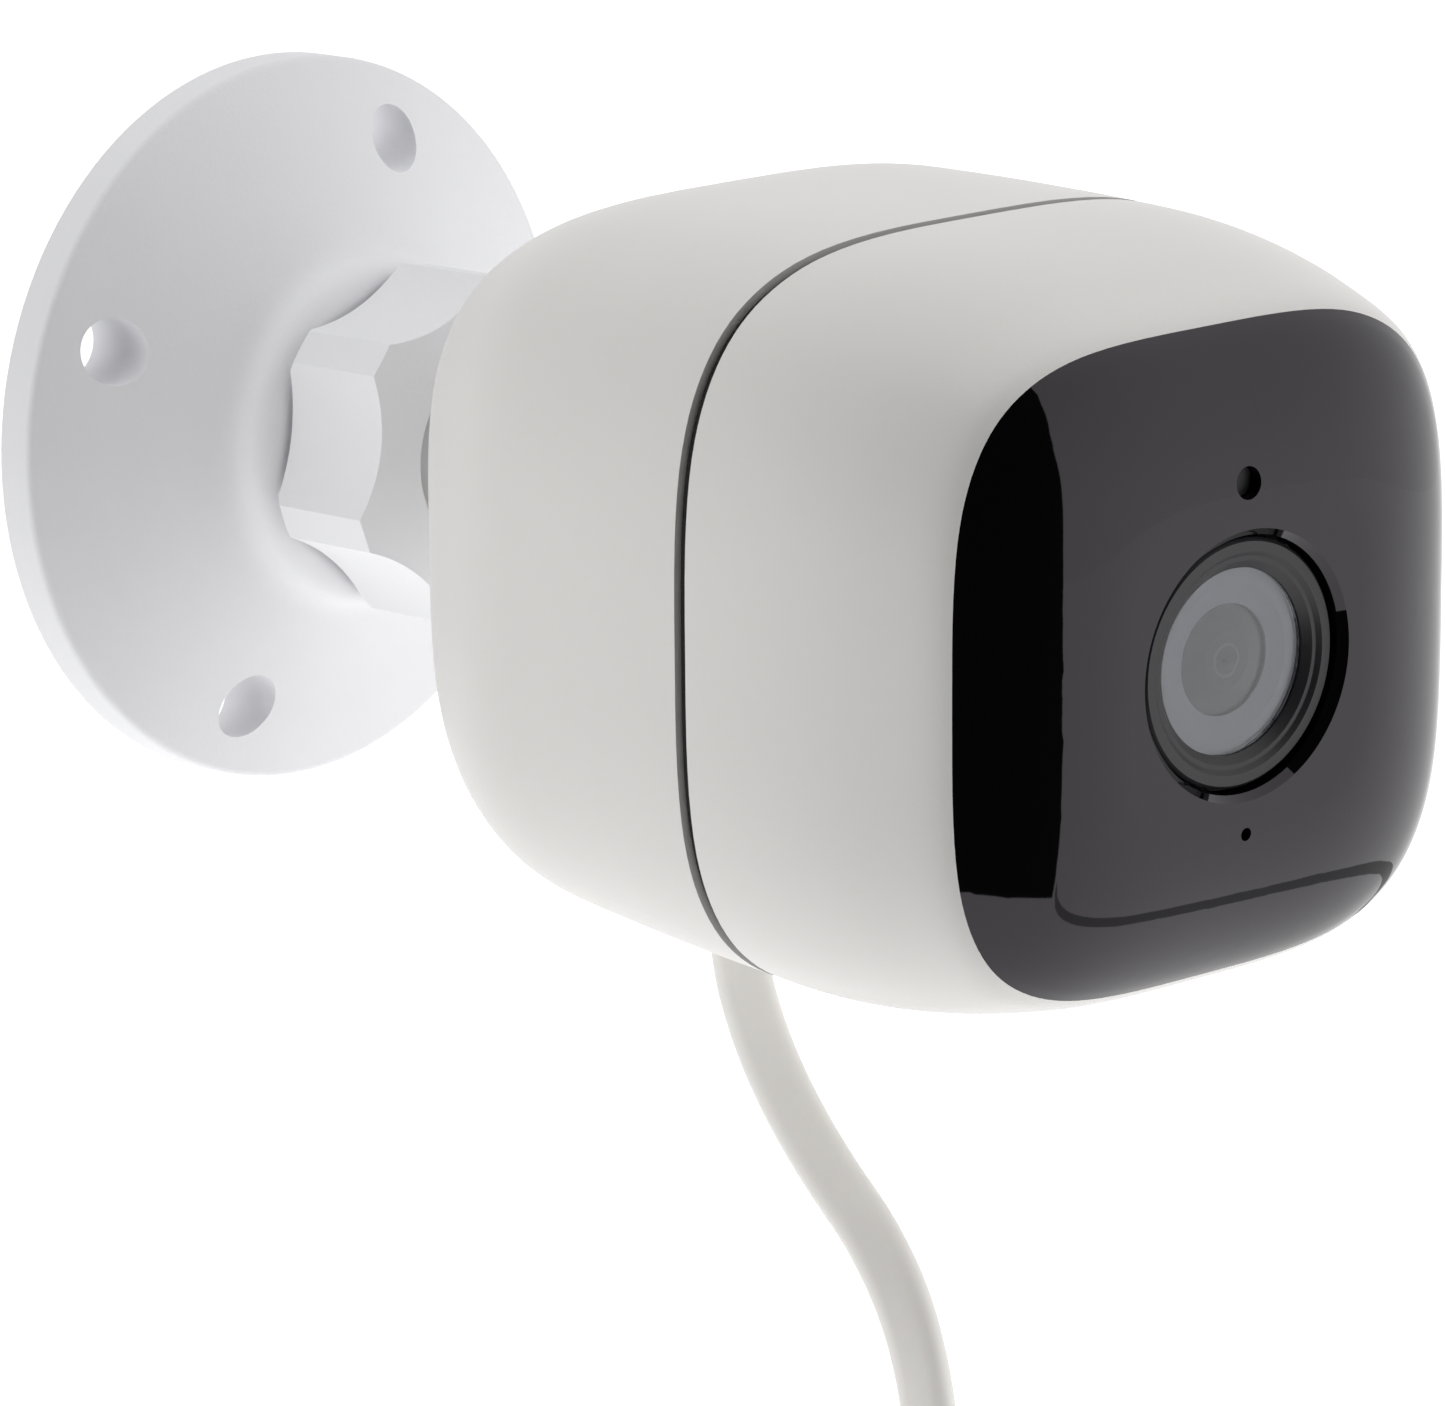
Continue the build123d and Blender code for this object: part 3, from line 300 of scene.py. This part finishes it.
def strap(turn, rings=96):
    """Rings of a strap round the bundle at a turn of the coil. Its middle line is a superellipse of
    power 4.5 whose radius steps out by one thickness over the last tenth, where it laps itself; its
    section is a rounded rectangle, x = w/2 * cos|cos|^-0.75 and y = t/2 * sin|sin|^-0.5."""
    ring = math.radians(turn)
    outward = ACROSS * math.cos(ring) + HEAD_TURN[:, 2] * math.sin(ring)
    round_coil = HEAD_TURN[:, 2] * math.cos(ring) - ACROSS * math.sin(ring)
    middle = from_head([COIL_MIDDLE])[0] + outward * COIL_RADIUS
    u = np.linspace(0, LAP_TO, rings)
    angle = 2 * np.pi * u + FIRST_ANGLE
    bulk = np.abs(np.cos(angle)) ** TIE_POWER + np.abs(np.sin(angle)) ** TIE_POWER
    out = TIE_HALF / bulk ** (1 / TIE_POWER)
    out = out + TIE_THICKNESS * np.clip((u - LAP_FROM) / (1 - LAP_FROM), 0, 1)
    radial = outward * np.cos(angle)[:, None] + AHEAD * np.sin(angle)[:, None]
    path = middle + radial * out[:, None]
    tangent = np.gradient(path, axis=0)
    tangent /= np.linalg.norm(tangent, axis=1)[:, None]
    face = np.cross(tangent, round_coil)
    s = np.arange(STRAP_SIDES) * 2 * np.pi / STRAP_SIDES
    x = np.sign(np.cos(s)) * np.abs(np.cos(s)) ** 0.25 * TIE_WIDTH / 2
    y = np.sign(np.sin(s)) * np.abs(np.sin(s)) ** 0.5 * TIE_THICKNESS / 2
    return path[:, None] + x[None, :, None] * round_coil + y[None, :, None] * face[:, None]


ties = piece("coil_straps", shell_mesh("coil straps", *[strap(turn) for turn in TIE_TURNS]))
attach(ties, "head")
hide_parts("coil_ties")

nylon, tree, shader, where = begin("woven black nylon", IOR=1.53, Sheen_Weight=0.35)
weave = add(tree, "ShaderNodeTexBrick", {"Vector": (where, "Object"), "Scale": 1 / (1.2 * MM),
                                         "Color1": linear("#1B1B1D"), "Color2": linear("#26262A"),
                                         "Mortar": linear("#0C0C0D"), "Mortar Size": 0.12})
tree.links.new(weave.outputs["Color"], shader.inputs["Base Color"])
bump = add(tree, "ShaderNodeBump", {"Height": (weave, "Fac"), "Distance": 0.05 * MM, "Strength": 0.8},
           invert=True)
tree.links.new(bump.outputs["Normal"], shader.inputs["Normal"])
shader.inputs["Roughness"].default_value = 0.85
dress(nylon, ties)

# ---- Plug ----------------------------------------------------------------------------------------
# USB-A plug: a soft white overmould with a ribbed strain relief and grip ridges, round a nickelled
# steel shell with a black tongue in it.
PLUG_TOP = from_head([tail[-1]])[0]
PLUG_WIDTH, PLUG_THICKNESS = 15.0 * MM, 7.4 * MM
RELIEF, PLUG_LENGTH = 10.0 * MM, 32.0 * MM
RELIEF_START, RELIEF_END = 3.0 * MM, 3.6 * MM
RIB_PITCH, RIB_DEPTH = 2.0 * MM, 0.35 * MM
GRIP_PITCH, GRIP_DEPTH = 1.6 * MM, 0.22 * MM
GRIP_FROM, GRIP_TO = 15 * MM, 27 * MM
STEP_FROM, STEP_TO = 8.6 * MM, 12.0 * MM
END_ROUND, END_SHARE = 1.2 * MM, 0.97
PLUG_SIDES = 48


def overmould(rings=170):
    """Rings of the overmould down from the lead. Half-width and half-thickness grow from the relief
    to the body through a smooth step, and the superellipse's power from 2 to 5. A cosine cuts the ribs
    and the grip ridges, and a quarter circle rounds the far end."""
    s = np.linspace(0, 1, rings) * PLUG_LENGTH
    step = np.clip((s - STEP_FROM) / (STEP_TO - STEP_FROM), 0, 1)
    step = step * step * (3 - 2 * step)
    neck = RELIEF_START + (RELIEF_END - RELIEF_START) * np.clip(s / RELIEF, 0, 1)
    ribs = RIB_DEPTH * (0.5 + 0.5 * np.cos(2 * np.pi * s / RIB_PITCH)) * (1 - step)
    grip = (s > GRIP_FROM) & (s < GRIP_TO)
    ridges = GRIP_DEPTH * (0.5 - 0.5 * np.cos(2 * np.pi * s / GRIP_PITCH)) * grip
    wide = neck - ribs + (PLUG_WIDTH / 2 - neck) * step - ridges
    thick = neck - ribs + (PLUG_THICKNESS / 2 - neck) * step
    power = 2 + 3 * step
    end = np.sqrt(1 - np.clip((s - PLUG_LENGTH + END_ROUND) / END_ROUND, 0, END_SHARE) ** 2)
    wide, thick = wide - END_ROUND * (1 - end), thick - END_ROUND * (1 - end)
    power = power[:, None]
    a = np.arange(PLUG_SIDES) * 2 * np.pi / PLUG_SIDES
    bulk = (np.abs(np.cos(a)) ** power + np.abs(np.sin(a)) ** power) ** (1 / power)
    x, y = wide[:, None] * np.cos(a) / bulk, thick[:, None] * np.sin(a) / bulk
    down = -HEAD_TURN[:, 2]
    return PLUG_TOP + s[:, None, None] * down + x[..., None] * ACROSS + y[..., None] * AHEAD


plug = piece("plug_overmould", shell_mesh("plug overmould", overmould()))
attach(plug, "head")
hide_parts("plug_body")
soft_white, tree, shader, where = begin("moulded white TPE", IOR=1.5)
spread(tree, shader, where, ("#E2E0DC", "#D8D5D0"), patch_mm=12)
grain(tree, shader, where, grain_mm=0.35, height_mm=0.02, rough=(0.5, 0.66))
dress(soft_white, plug)

nickel, tree, shader, where = begin("nickelled steel", Metallic=1.0)
spread(tree, shader, where, ("#C9C6BF", "#B5B2AC"), patch_mm=6)
grain(tree, shader, where, grain_mm=0.8, height_mm=0.004, rough=(0.16, 0.30))
dress(nickel, "plug_shell")
nylon_tongue, tree, shader, where = begin("moulded black nylon", IOR=1.53)
spread(tree, shader, where, ("#161617", "#1F1F21"), patch_mm=5)
grain(tree, shader, where, grain_mm=0.25, height_mm=0.01, rough=(0.4, 0.55))
dress(nylon_tongue, "plug_tongue")

# ---- Floor and light -----------------------------------------------------------------------------
# A white studio: glowing paper far under the lead, a white surround that dims towards the top, and one
# weak soft light overhead. Black cards give the gloss panel its dark reflections, and three more shade
# the left, right and back of the head, so that its whites don't burn out.
FLOOR_DROP = 1.2
FLOOR_HALF = 6.0
FLOOR_GLOW, TOP_GLOW = 1.25, 1.04
TOP_HEIGHT = 0.7                 # sine of the elevation at which the surround is dimmest
STUDIO_MIDDLE = (0, -0.06, 0)
CARD_BLACK, EDGE_BLACK, EDGE_GLOW = "#060606", "#101010", 0.45
surround = bpy.data.worlds.new("white surround")
scene.world = surround
surround.use_nodes = True
sky = surround.node_tree
direction = add(sky, "ShaderNodeTexCoord", {})
height = add(sky, "ShaderNodeSeparateXYZ", {"Vector": (direction, "Generated")})
glow = add(sky, "ShaderNodeMapRange", {"Value": (height, "Z"), "From Max": TOP_HEIGHT,
                                       "To Min": FLOOR_GLOW, "To Max": TOP_GLOW})
sky.nodes["Background"].inputs["Color"].default_value = linear("#FFFFFF")
sky.links.new(glow.outputs["Result"], sky.nodes["Background"].inputs["Strength"])


def stage_patch(name, grid, colour, glow):
    """Open sheet of the studio through a grid of points, of one colour that also glows."""
    rows, columns = grid.shape[:2]
    corner = np.arange(rows * columns).reshape(rows, columns)
    quads = np.stack([corner[:-1, :-1], corner[:-1, 1:], corner[1:, 1:], corner[1:, :-1]], axis=-1)
    mesh = bpy.data.meshes.new(name)
    mesh.from_pydata(grid.reshape(-1, 3).tolist(), [], quads.reshape(-1, 4).tolist())
    made = piece(name, mesh)
    material, _, shader, _ = begin(name, Base_Color=linear(colour), Roughness=0.95,
                                   Emission_Color=linear("#FFFFFF"), Emission_Strength=glow)
    dress(material, made)
    return made


def dome_patch(azimuths, elevations, radius, lift=0.0, steps=24):
    """Grid on a sphere round the head between two azimuths and two elevations, which the lift raises
    at each azimuth."""
    a = np.radians(np.linspace(*azimuths, steps))[None, :]
    e = np.radians(np.linspace(*elevations, steps)[:, None] + np.broadcast_to(lift, steps))
    ray = np.stack([np.sin(a) * np.cos(e), -np.cos(a) * np.cos(e), np.sin(e) + 0 * a], axis=-1)
    return np.array(STUDIO_MIDDLE) + ray * radius


edge = np.linspace(-FLOOR_HALF, FLOOR_HALF, 3)
floor_grid = np.stack([*np.meshgrid(edge, edge), np.full((3, 3), -FLOOR_DROP)], axis=-1)
stage_patch("white background paper", floor_grid, "#202020", FLOOR_GLOW)
flag = stage_patch("black flag", dome_patch((-105, 0), (-32, 62), radius=0.45), CARD_BLACK, 0.0)

# The table's edge climbs evenly to the right, and turns up in a quarter circle at its left end.
EDGE_STEPS, EDGE_SPAN, EDGE_CLIMB = 120, 150.0, 15.0
EDGE_CORNER, EDGE_CORNER_RISE = 30.0, 12.0
EDGE_HEIGHTS, EDGE_RADIUS = (-42.6, -40.0), 0.40
across = np.linspace(0, EDGE_SPAN, EDGE_STEPS)
short = 1 - np.clip(across / EDGE_CORNER, 0, 1)
edge_lift = across / EDGE_SPAN * EDGE_CLIMB + EDGE_CORNER_RISE * (1 - np.sqrt(1 - short ** 2))
edge_grid = dome_patch((0, EDGE_SPAN), EDGE_HEIGHTS, EDGE_RADIUS, edge_lift, EDGE_STEPS)
edge_strip = stage_patch("table edge", edge_grid, EDGE_BLACK, EDGE_GLOW)
SHADE_HEIGHTS = (-34, 54)
SHADES = (("left", (-84, -2), 0.55), ("right", (80, 140), 0.60), ("back", (165, 215), 0.60))
shades = [stage_patch(f"{side} shade flag", dome_patch(span, SHADE_HEIGHTS, radius), CARD_BLACK, 0.0)
          for side, span, radius in SHADES]
for card in (flag, edge_strip):
    card.visible_camera = card.visible_diffuse = card.visible_shadow = False
for card in shades:
    card.visible_camera = card.visible_glossy = False

LAMP_SIDE, LAMP_WATTS, LAMP_PLACE = 0.8, 0.15, (0.25, 0.15, 0.9)
lamp_data = bpy.data.lights.new("top softbox", "AREA")
lamp_data.shape = "RECTANGLE"
lamp_data.size = lamp_data.size_y = LAMP_SIDE
lamp_data.energy = LAMP_WATTS
lamp = piece("top softbox", lamp_data)
lamp.matrix_world = facing(Vector(STUDIO_MIDDLE), Vector(LAMP_PLACE))

# ---- Wall mount ----------------------------------------------------------------------------------
# Wall plate and lock nut: white polycarbonate, moulded matt and a little cooler than the head.
matt_white, tree, shader, where = begin("moulded matt white polycarbonate", IOR=1.58)
spread(tree, shader, where, ("#F9F9FC", "#F4F4F7"), patch_mm=14)
grain(tree, shader, where, grain_mm=0.32, height_mm=0.030, rough=(0.50, 0.62))
dress(matt_white, "wall_plate", "lock_nut")

# Clamp ring: acetal, slippery and creamy, so that the nut turns on it without sticking.
acetal, tree, shader, where = begin("machined natural acetal", IOR=1.48)
spread(tree, shader, where, ("#E4E2DB", "#D9D6CE"), patch_mm=6)
grain(tree, shader, where, grain_mm=0.6, height_mm=0.006, rough=(0.28, 0.40))
dress(acetal, "clamp_ring")

# Ball: zinc, die-cast and painted a pale grey, with a soft gloss that varies a little over it.
painted, tree, shader, where = begin("painted die-cast zinc", IOR=1.5)
spread(tree, shader, where, ("#E2E2E4", "#D8D8DA"), patch_mm=5)
grain(tree, shader, where, grain_mm=0.4, height_mm=0.008, rough=(0.30, 0.42))
dress(painted, "ball")

# ---- Head shells ---------------------------------------------------------------------------------
# Front and rear shells: white ASA, satin from a fine spark-eroded mould, and very slightly warm. The
# grain is 0.28 mm across and 0.016 mm high.
satin_white, tree, shader, where = begin("moulded satin white ASA", IOR=1.52)
spread(tree, shader, where, ("#ECEBE8", "#E7E5E2"), patch_mm=22)
grain(tree, shader, where, grain_mm=0.28, height_mm=0.016, rough=(0.38, 0.47))
dress(satin_white, "front_shell", "rear_shell")

# Seam gasket, ball pad and microphone seal: dark EPDM foam, closed cells of 0.4 mm. The gasket's
# outer face is crowned, because the shells squeeze it, and stands 0.4 mm under theirs.
FRONT_TO_SEAM, SEAM_GAP = 34.0 * MM, 1.4 * MM
SEAM_HALF, SEAM_POWER = 32.99 * MM, 3.5
BEAD_DEPTH, BEAD_CROWN, BEAD_WALL = 0.75 * MM, 0.35 * MM, 2.5 * MM
BEAD_SLACK = 0.02 * MM


def bead(around=240, across=13):
    """Rings round the bead's section, along a closed superellipse r = (|cos|^3.5 + |sin|^3.5)^(-1/3.5).
    The outer face is crowned by a parabola across the gap; the inner face is flat."""
    a = np.arange(around) * 2 * np.pi / around
    r = (np.abs(np.cos(a)) ** SEAM_POWER + np.abs(np.sin(a)) ** SEAM_POWER) ** (-1 / SEAM_POWER)
    w = np.linspace(1, -1, across)
    outer = SEAM_HALF - BEAD_DEPTH + BEAD_CROWN * (1 - w ** 2)
    half = np.concatenate([outer, np.full(across, SEAM_HALF - BEAD_WALL)])
    behind = FRONT_TO_SEAM + np.concatenate([w, w[::-1]]) * (SEAM_GAP / 2 - BEAD_SLACK)
    x = half[:, None] * (r * np.cos(a))[None, :]
    z = half[:, None] * (r * np.sin(a))[None, :]
    places = np.stack([x, np.repeat(behind[:, None], around, axis=1), z], axis=-1)
    return from_head(places.reshape(-1, 3)).reshape(places.shape)


epdm, tree, shader, where = begin("dark EPDM foam", IOR=1.5)
spread(tree, shader, where, ("#0E0D0C", "#080807"), patch_mm=3)
grain(tree, shader, where, grain_mm=0.4, height_mm=0.05, rough=(0.80, 0.92))
gasket = piece("gasket_bead", shell_mesh("gasket bead", bead(), ends="loop"))
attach(gasket, "head")
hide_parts("seam_gasket")
dress(epdm, gasket, "ball_pad", "mic_seal")

# ---- Front panel ---------------------------------------------------------------------------------
# Gloss black acrylic, tinted so that infrared passes: black, mirror smooth, with the faint waves
# that a moulding leaves, 14 mm apart.
acrylic, tree, shader, where = begin("gloss black acrylic", IOR=1.51, Roughness=0.035,
                                     Base_Color=linear("#060607"),
                                     Specular_Tint=linear("#FCF4FF"))
ripple = add(tree, "ShaderNodeTexNoise", {"Vector": (where, "Object"), "Scale": 1 / (14 * MM),
                                         "Detail": 0.0})
bump = add(tree, "ShaderNodeBump", {"Height": (ripple, "Fac"), "Distance": 0.02 * MM})
tree.links.new(bump.outputs["Normal"], shader.inputs["Normal"])
dress(acrylic, "front_panel")

# ---- Lens ----------------------------------------------------------------------------------------
# Barrel: turned aluminium, bead-blasted and anodised black, so it is satin, with faint turning marks
# 0.25 mm apart round the lens axis.
LENS_AXIS = tuple(-HEAD_TURN[:, 1])


def from_axis(tree, where):
    """Distance of a point from the lens axis: the length of (point - ball) x axis."""
    offset = add(tree, "ShaderNodeVectorMath", {0: (where, "Object"), 1: tuple(BALL)},
                 operation="SUBTRACT")
    across = add(tree, "ShaderNodeVectorMath", {0: (offset, "Vector"), 1: LENS_AXIS},
                 operation="CROSS_PRODUCT")
    return add(tree, "ShaderNodeVectorMath", {0: (across, "Vector")}, operation="LENGTH")


def turned(tree, shader, where, pitch_mm, height_mm):
    """Bump of fine rings round the lens axis, a sine of the distance from it."""
    distance = from_axis(tree, where)
    phase = add(tree, "ShaderNodeMath", {0: (distance, "Value"), 1: 2 * math.pi / (pitch_mm * MM)},
                operation="MULTIPLY")
    ring = add(tree, "ShaderNodeMath", {0: (phase, "Value")}, operation="SINE")
    bump = add(tree, "ShaderNodeBump", {"Height": (ring, "Value"), "Distance": height_mm * MM})
    tree.links.new(bump.outputs["Normal"], shader.inputs["Normal"])


anodised, tree, shader, where = begin("black anodised aluminium", Roughness=0.42, IOR=1.5)
spread(tree, shader, where, ("#2B2A2D", "#252428"), patch_mm=2)
turned(tree, shader, where, pitch_mm=0.25, height_mm=0.002)
dress(anodised, "lens_barrel")

# Spacer ring: anodised a paler grey; it shows through the front glass.
pale_ring, tree, shader, where = begin("grey anodised aluminium", Roughness=0.45)
spread(tree, shader, where, ("#AEAFB7", "#A7A8B0"), patch_mm=2)
turned(tree, shader, where, pitch_mm=0.4, height_mm=0.002)
dress(pale_ring, "lens_spacer_ring")

# Front glass and infrared filter: clear optical glass under a thin grey coating.
clear_glass, tree, shader, where = begin("coated optical glass", Roughness=0.02, IOR=1.52,
                                         Transmission_Weight=1.0, Base_Color=linear("#EDEFF2"))
smear = add(tree, "ShaderNodeTexNoise", {"Vector": (where, "Object"), "Scale": 1 / (4 * MM)})
polish = add(tree, "ShaderNodeMapRange", {"Value": (smear, "Fac"), "To Min": 0.01, "To Max": 0.05})
tree.links.new(polish.outputs["Result"], shader.inputs["Roughness"])
dress(clear_glass, "lens_front_glass", "ir_cut_filter")

# Inner and rear elements: dark grey discs of painted shade, standing for the black barrel behind them seen
# through the glass. A fine paler ring on them is a painted highlight, the reflection of the iris's edge
# behind them.
INNER_GLASS_RADIUS = 4.7 * MM
# Painted highlight: a paler ring on the disc, at these shares of the glass radius out from the axis.
HIGHLIGHT_RING_TONES = [(0.25, "#434448"), (0.29, "#64656A"), (0.32, "#454649")]
# The disc's dark grey is painted shade, for the dark barrel seen through the glass.
dark_glass, tree, shader, where = begin("optical glass with painted shade", Roughness=0.05, IOR=1.45)
reach = add(tree, "ShaderNodeMapRange", {"Value": (from_axis(tree, where), "Value"),
                                        "From Max": INNER_GLASS_RADIUS})
disc = add(tree, "ShaderNodeValToRGB", {"Fac": (reach, "Result")})
disc.color_ramp.elements[0].color = linear("#434448")
disc.color_ramp.elements[1].color = linear("#48494D")
for place, tone in HIGHLIGHT_RING_TONES:
    disc.color_ramp.elements.new(place).color = linear(tone)
tree.links.new(disc.outputs["Color"], shader.inputs["Base Color"])
dress(dark_glass, "lens_inner_glass", "lens_rear_glass")

# Light pipe: smoked polycarbonate, so the light sensor's hole reads as black.
smoked, tree, shader, where = begin("smoked polycarbonate", IOR=1.58)
spread(tree, shader, where, ("#060606", "#030303"), patch_mm=1)
grain(tree, shader, where, grain_mm=0.3, height_mm=0.002, rough=(0.5, 0.6))
dress(smoked, "light_pipe")

# ---- Black inner parts ---------------------------------------------------------------------------
# Lens holder, card, connector, speaker frame and switch: black nylon filled with glass fibre, moulded,
# so it is matt with a fine grain.


def in_slots(*slots):
    """Names of the nodes whose finish is one of these slots of the record."""
    return [s["node"] for s in frame["record"]["subparts"] if s["material_slot"] in slots]


filled, tree, shader, where = begin("glass-filled black nylon", IOR=1.53)
spread(tree, shader, where, ("#1A1A1B", "#242426"), patch_mm=4)
grain(tree, shader, where, grain_mm=0.3, height_mm=0.02, rough=(0.45, 0.6))
dress(filled, "lens_holder", "board_connector", "memory_card", "speaker_frame", "reset_switch",
      "panel_tape")

# Chips and inductor: black epoxy moulding compound, with a coarse matt grain of silica filler.
compound, tree, shader, where = begin("black epoxy moulding compound", IOR=1.55)
spread(tree, shader, where, ("#232324", "#2B2B2D"), patch_mm=2)
grain(tree, shader, where, grain_mm=0.18, height_mm=0.03, rough=(0.60, 0.75))
dress(compound, *in_slots("chip_black"))

# Speaker cone: pressed paper pulp, dyed black, with fibres about 0.8 mm long.
paper, tree, shader, where = begin("pressed black paper", IOR=1.5)
spread(tree, shader, where, ("#1C1B1A", "#2A2927"), patch_mm=0.8, detail=6.0)
grain(tree, shader, where, grain_mm=0.8, height_mm=0.05, rough=(0.80, 0.95))
dress(paper, "speaker_cone")

# ---- Rubber --------------------------------------------------------------------------------------
# Gland, service cover and reset button: moulded silicone, matt. The gland and cover are white, the
# button is grey.
silicone, tree, shader, where = begin("moulded white silicone", IOR=1.43, Subsurface_Weight=0.1,
                                      Subsurface_Scale=0.001)
spread(tree, shader, where, ("#E6E5E2", "#DFDEDB"), patch_mm=5)
grain(tree, shader, where, grain_mm=0.35, height_mm=0.02, rough=(0.6, 0.75))
dress(silicone, *in_slots("white_rubber"))
grey_silicone, tree, shader, where = begin("moulded grey silicone", IOR=1.43)
spread(tree, shader, where, ("#8E8E90", "#858588"), patch_mm=3)
grain(tree, shader, where, grain_mm=0.3, height_mm=0.02, rough=(0.6, 0.75))
dress(grey_silicone, "reset_button")

# ---- Boards --------------------------------------------------------------------------------------
# Glass-epoxy boards under green solder mask, with copper tracks that lift it, on a 1.3 mm pitch.
board_mask, tree, shader, where = begin("green solder mask", Roughness=0.35, Coat_Weight=0.3)
tracks = add(tree, "ShaderNodeTexBrick", {"Vector": (where, "Object"), "Scale": 1 / (2.6 * MM),
                                          "Color1": linear("#12502F"), "Color2": linear("#17603A"),
                                          "Mortar": linear("#0C3A22"), "Mortar Size": 0.05})
tree.links.new(tracks.outputs["Color"], shader.inputs["Base Color"])
bump = add(tree, "ShaderNodeBump", {"Height": (tracks, "Fac"), "Distance": 0.035 * MM}, invert=True)
tree.links.new(bump.outputs["Normal"], shader.inputs["Normal"])
dress(board_mask, *in_slots("circuit_board"))

# Lead socket: natural nylon, moulded, the colour of ivory.
ivory, tree, shader, where = begin("moulded natural nylon", IOR=1.53, Subsurface_Weight=0.1,
                                   Subsurface_Scale=0.001)
spread(tree, shader, where, ("#E5DFCD", "#DAD3BF"), patch_mm=3)
grain(tree, shader, where, grain_mm=0.3, height_mm=0.01, rough=(0.35, 0.50))
dress(ivory, "lead_socket")

# Infrared and status lamps: cast in epoxy, water clear and faintly tinted, with a polished dome.
epoxy, tree, shader, where = begin("cast clear epoxy", IOR=1.55, Transmission_Weight=0.85)
spread(tree, shader, where, ("#DDE3EA", "#C9D1DC"), patch_mm=2)
grain(tree, shader, where, grain_mm=0.5, height_mm=0.003, rough=(0.04, 0.10))
dress(epoxy, "ir_leds", "status_led")

# ---- Metal ---------------------------------------------------------------------------------------
# Screws, pins, shields and the ball's stud: zinc-plated steel, with the dull bloom of the plating.
plated, tree, shader, where = begin("zinc-plated steel", Metallic=1.0)
spread(tree, shader, where, ("#C2C4C6", "#A9ACAF"), patch_mm=3)
grain(tree, shader, where, grain_mm=0.5, height_mm=0.004, rough=(0.26, 0.38))
dress(plated, *in_slots("steel"))

# Stud insert and board spacers: turned brass, with fine marks from the tool.
brass, tree, shader, where = begin("turned brass", Metallic=1.0, Roughness=0.3)
spread(tree, shader, where, ("#C7A14E", "#B38E3F"), patch_mm=3)
turned(tree, shader, where, pitch_mm=0.5, height_mm=0.01)
dress(brass, *in_slots("brass"))
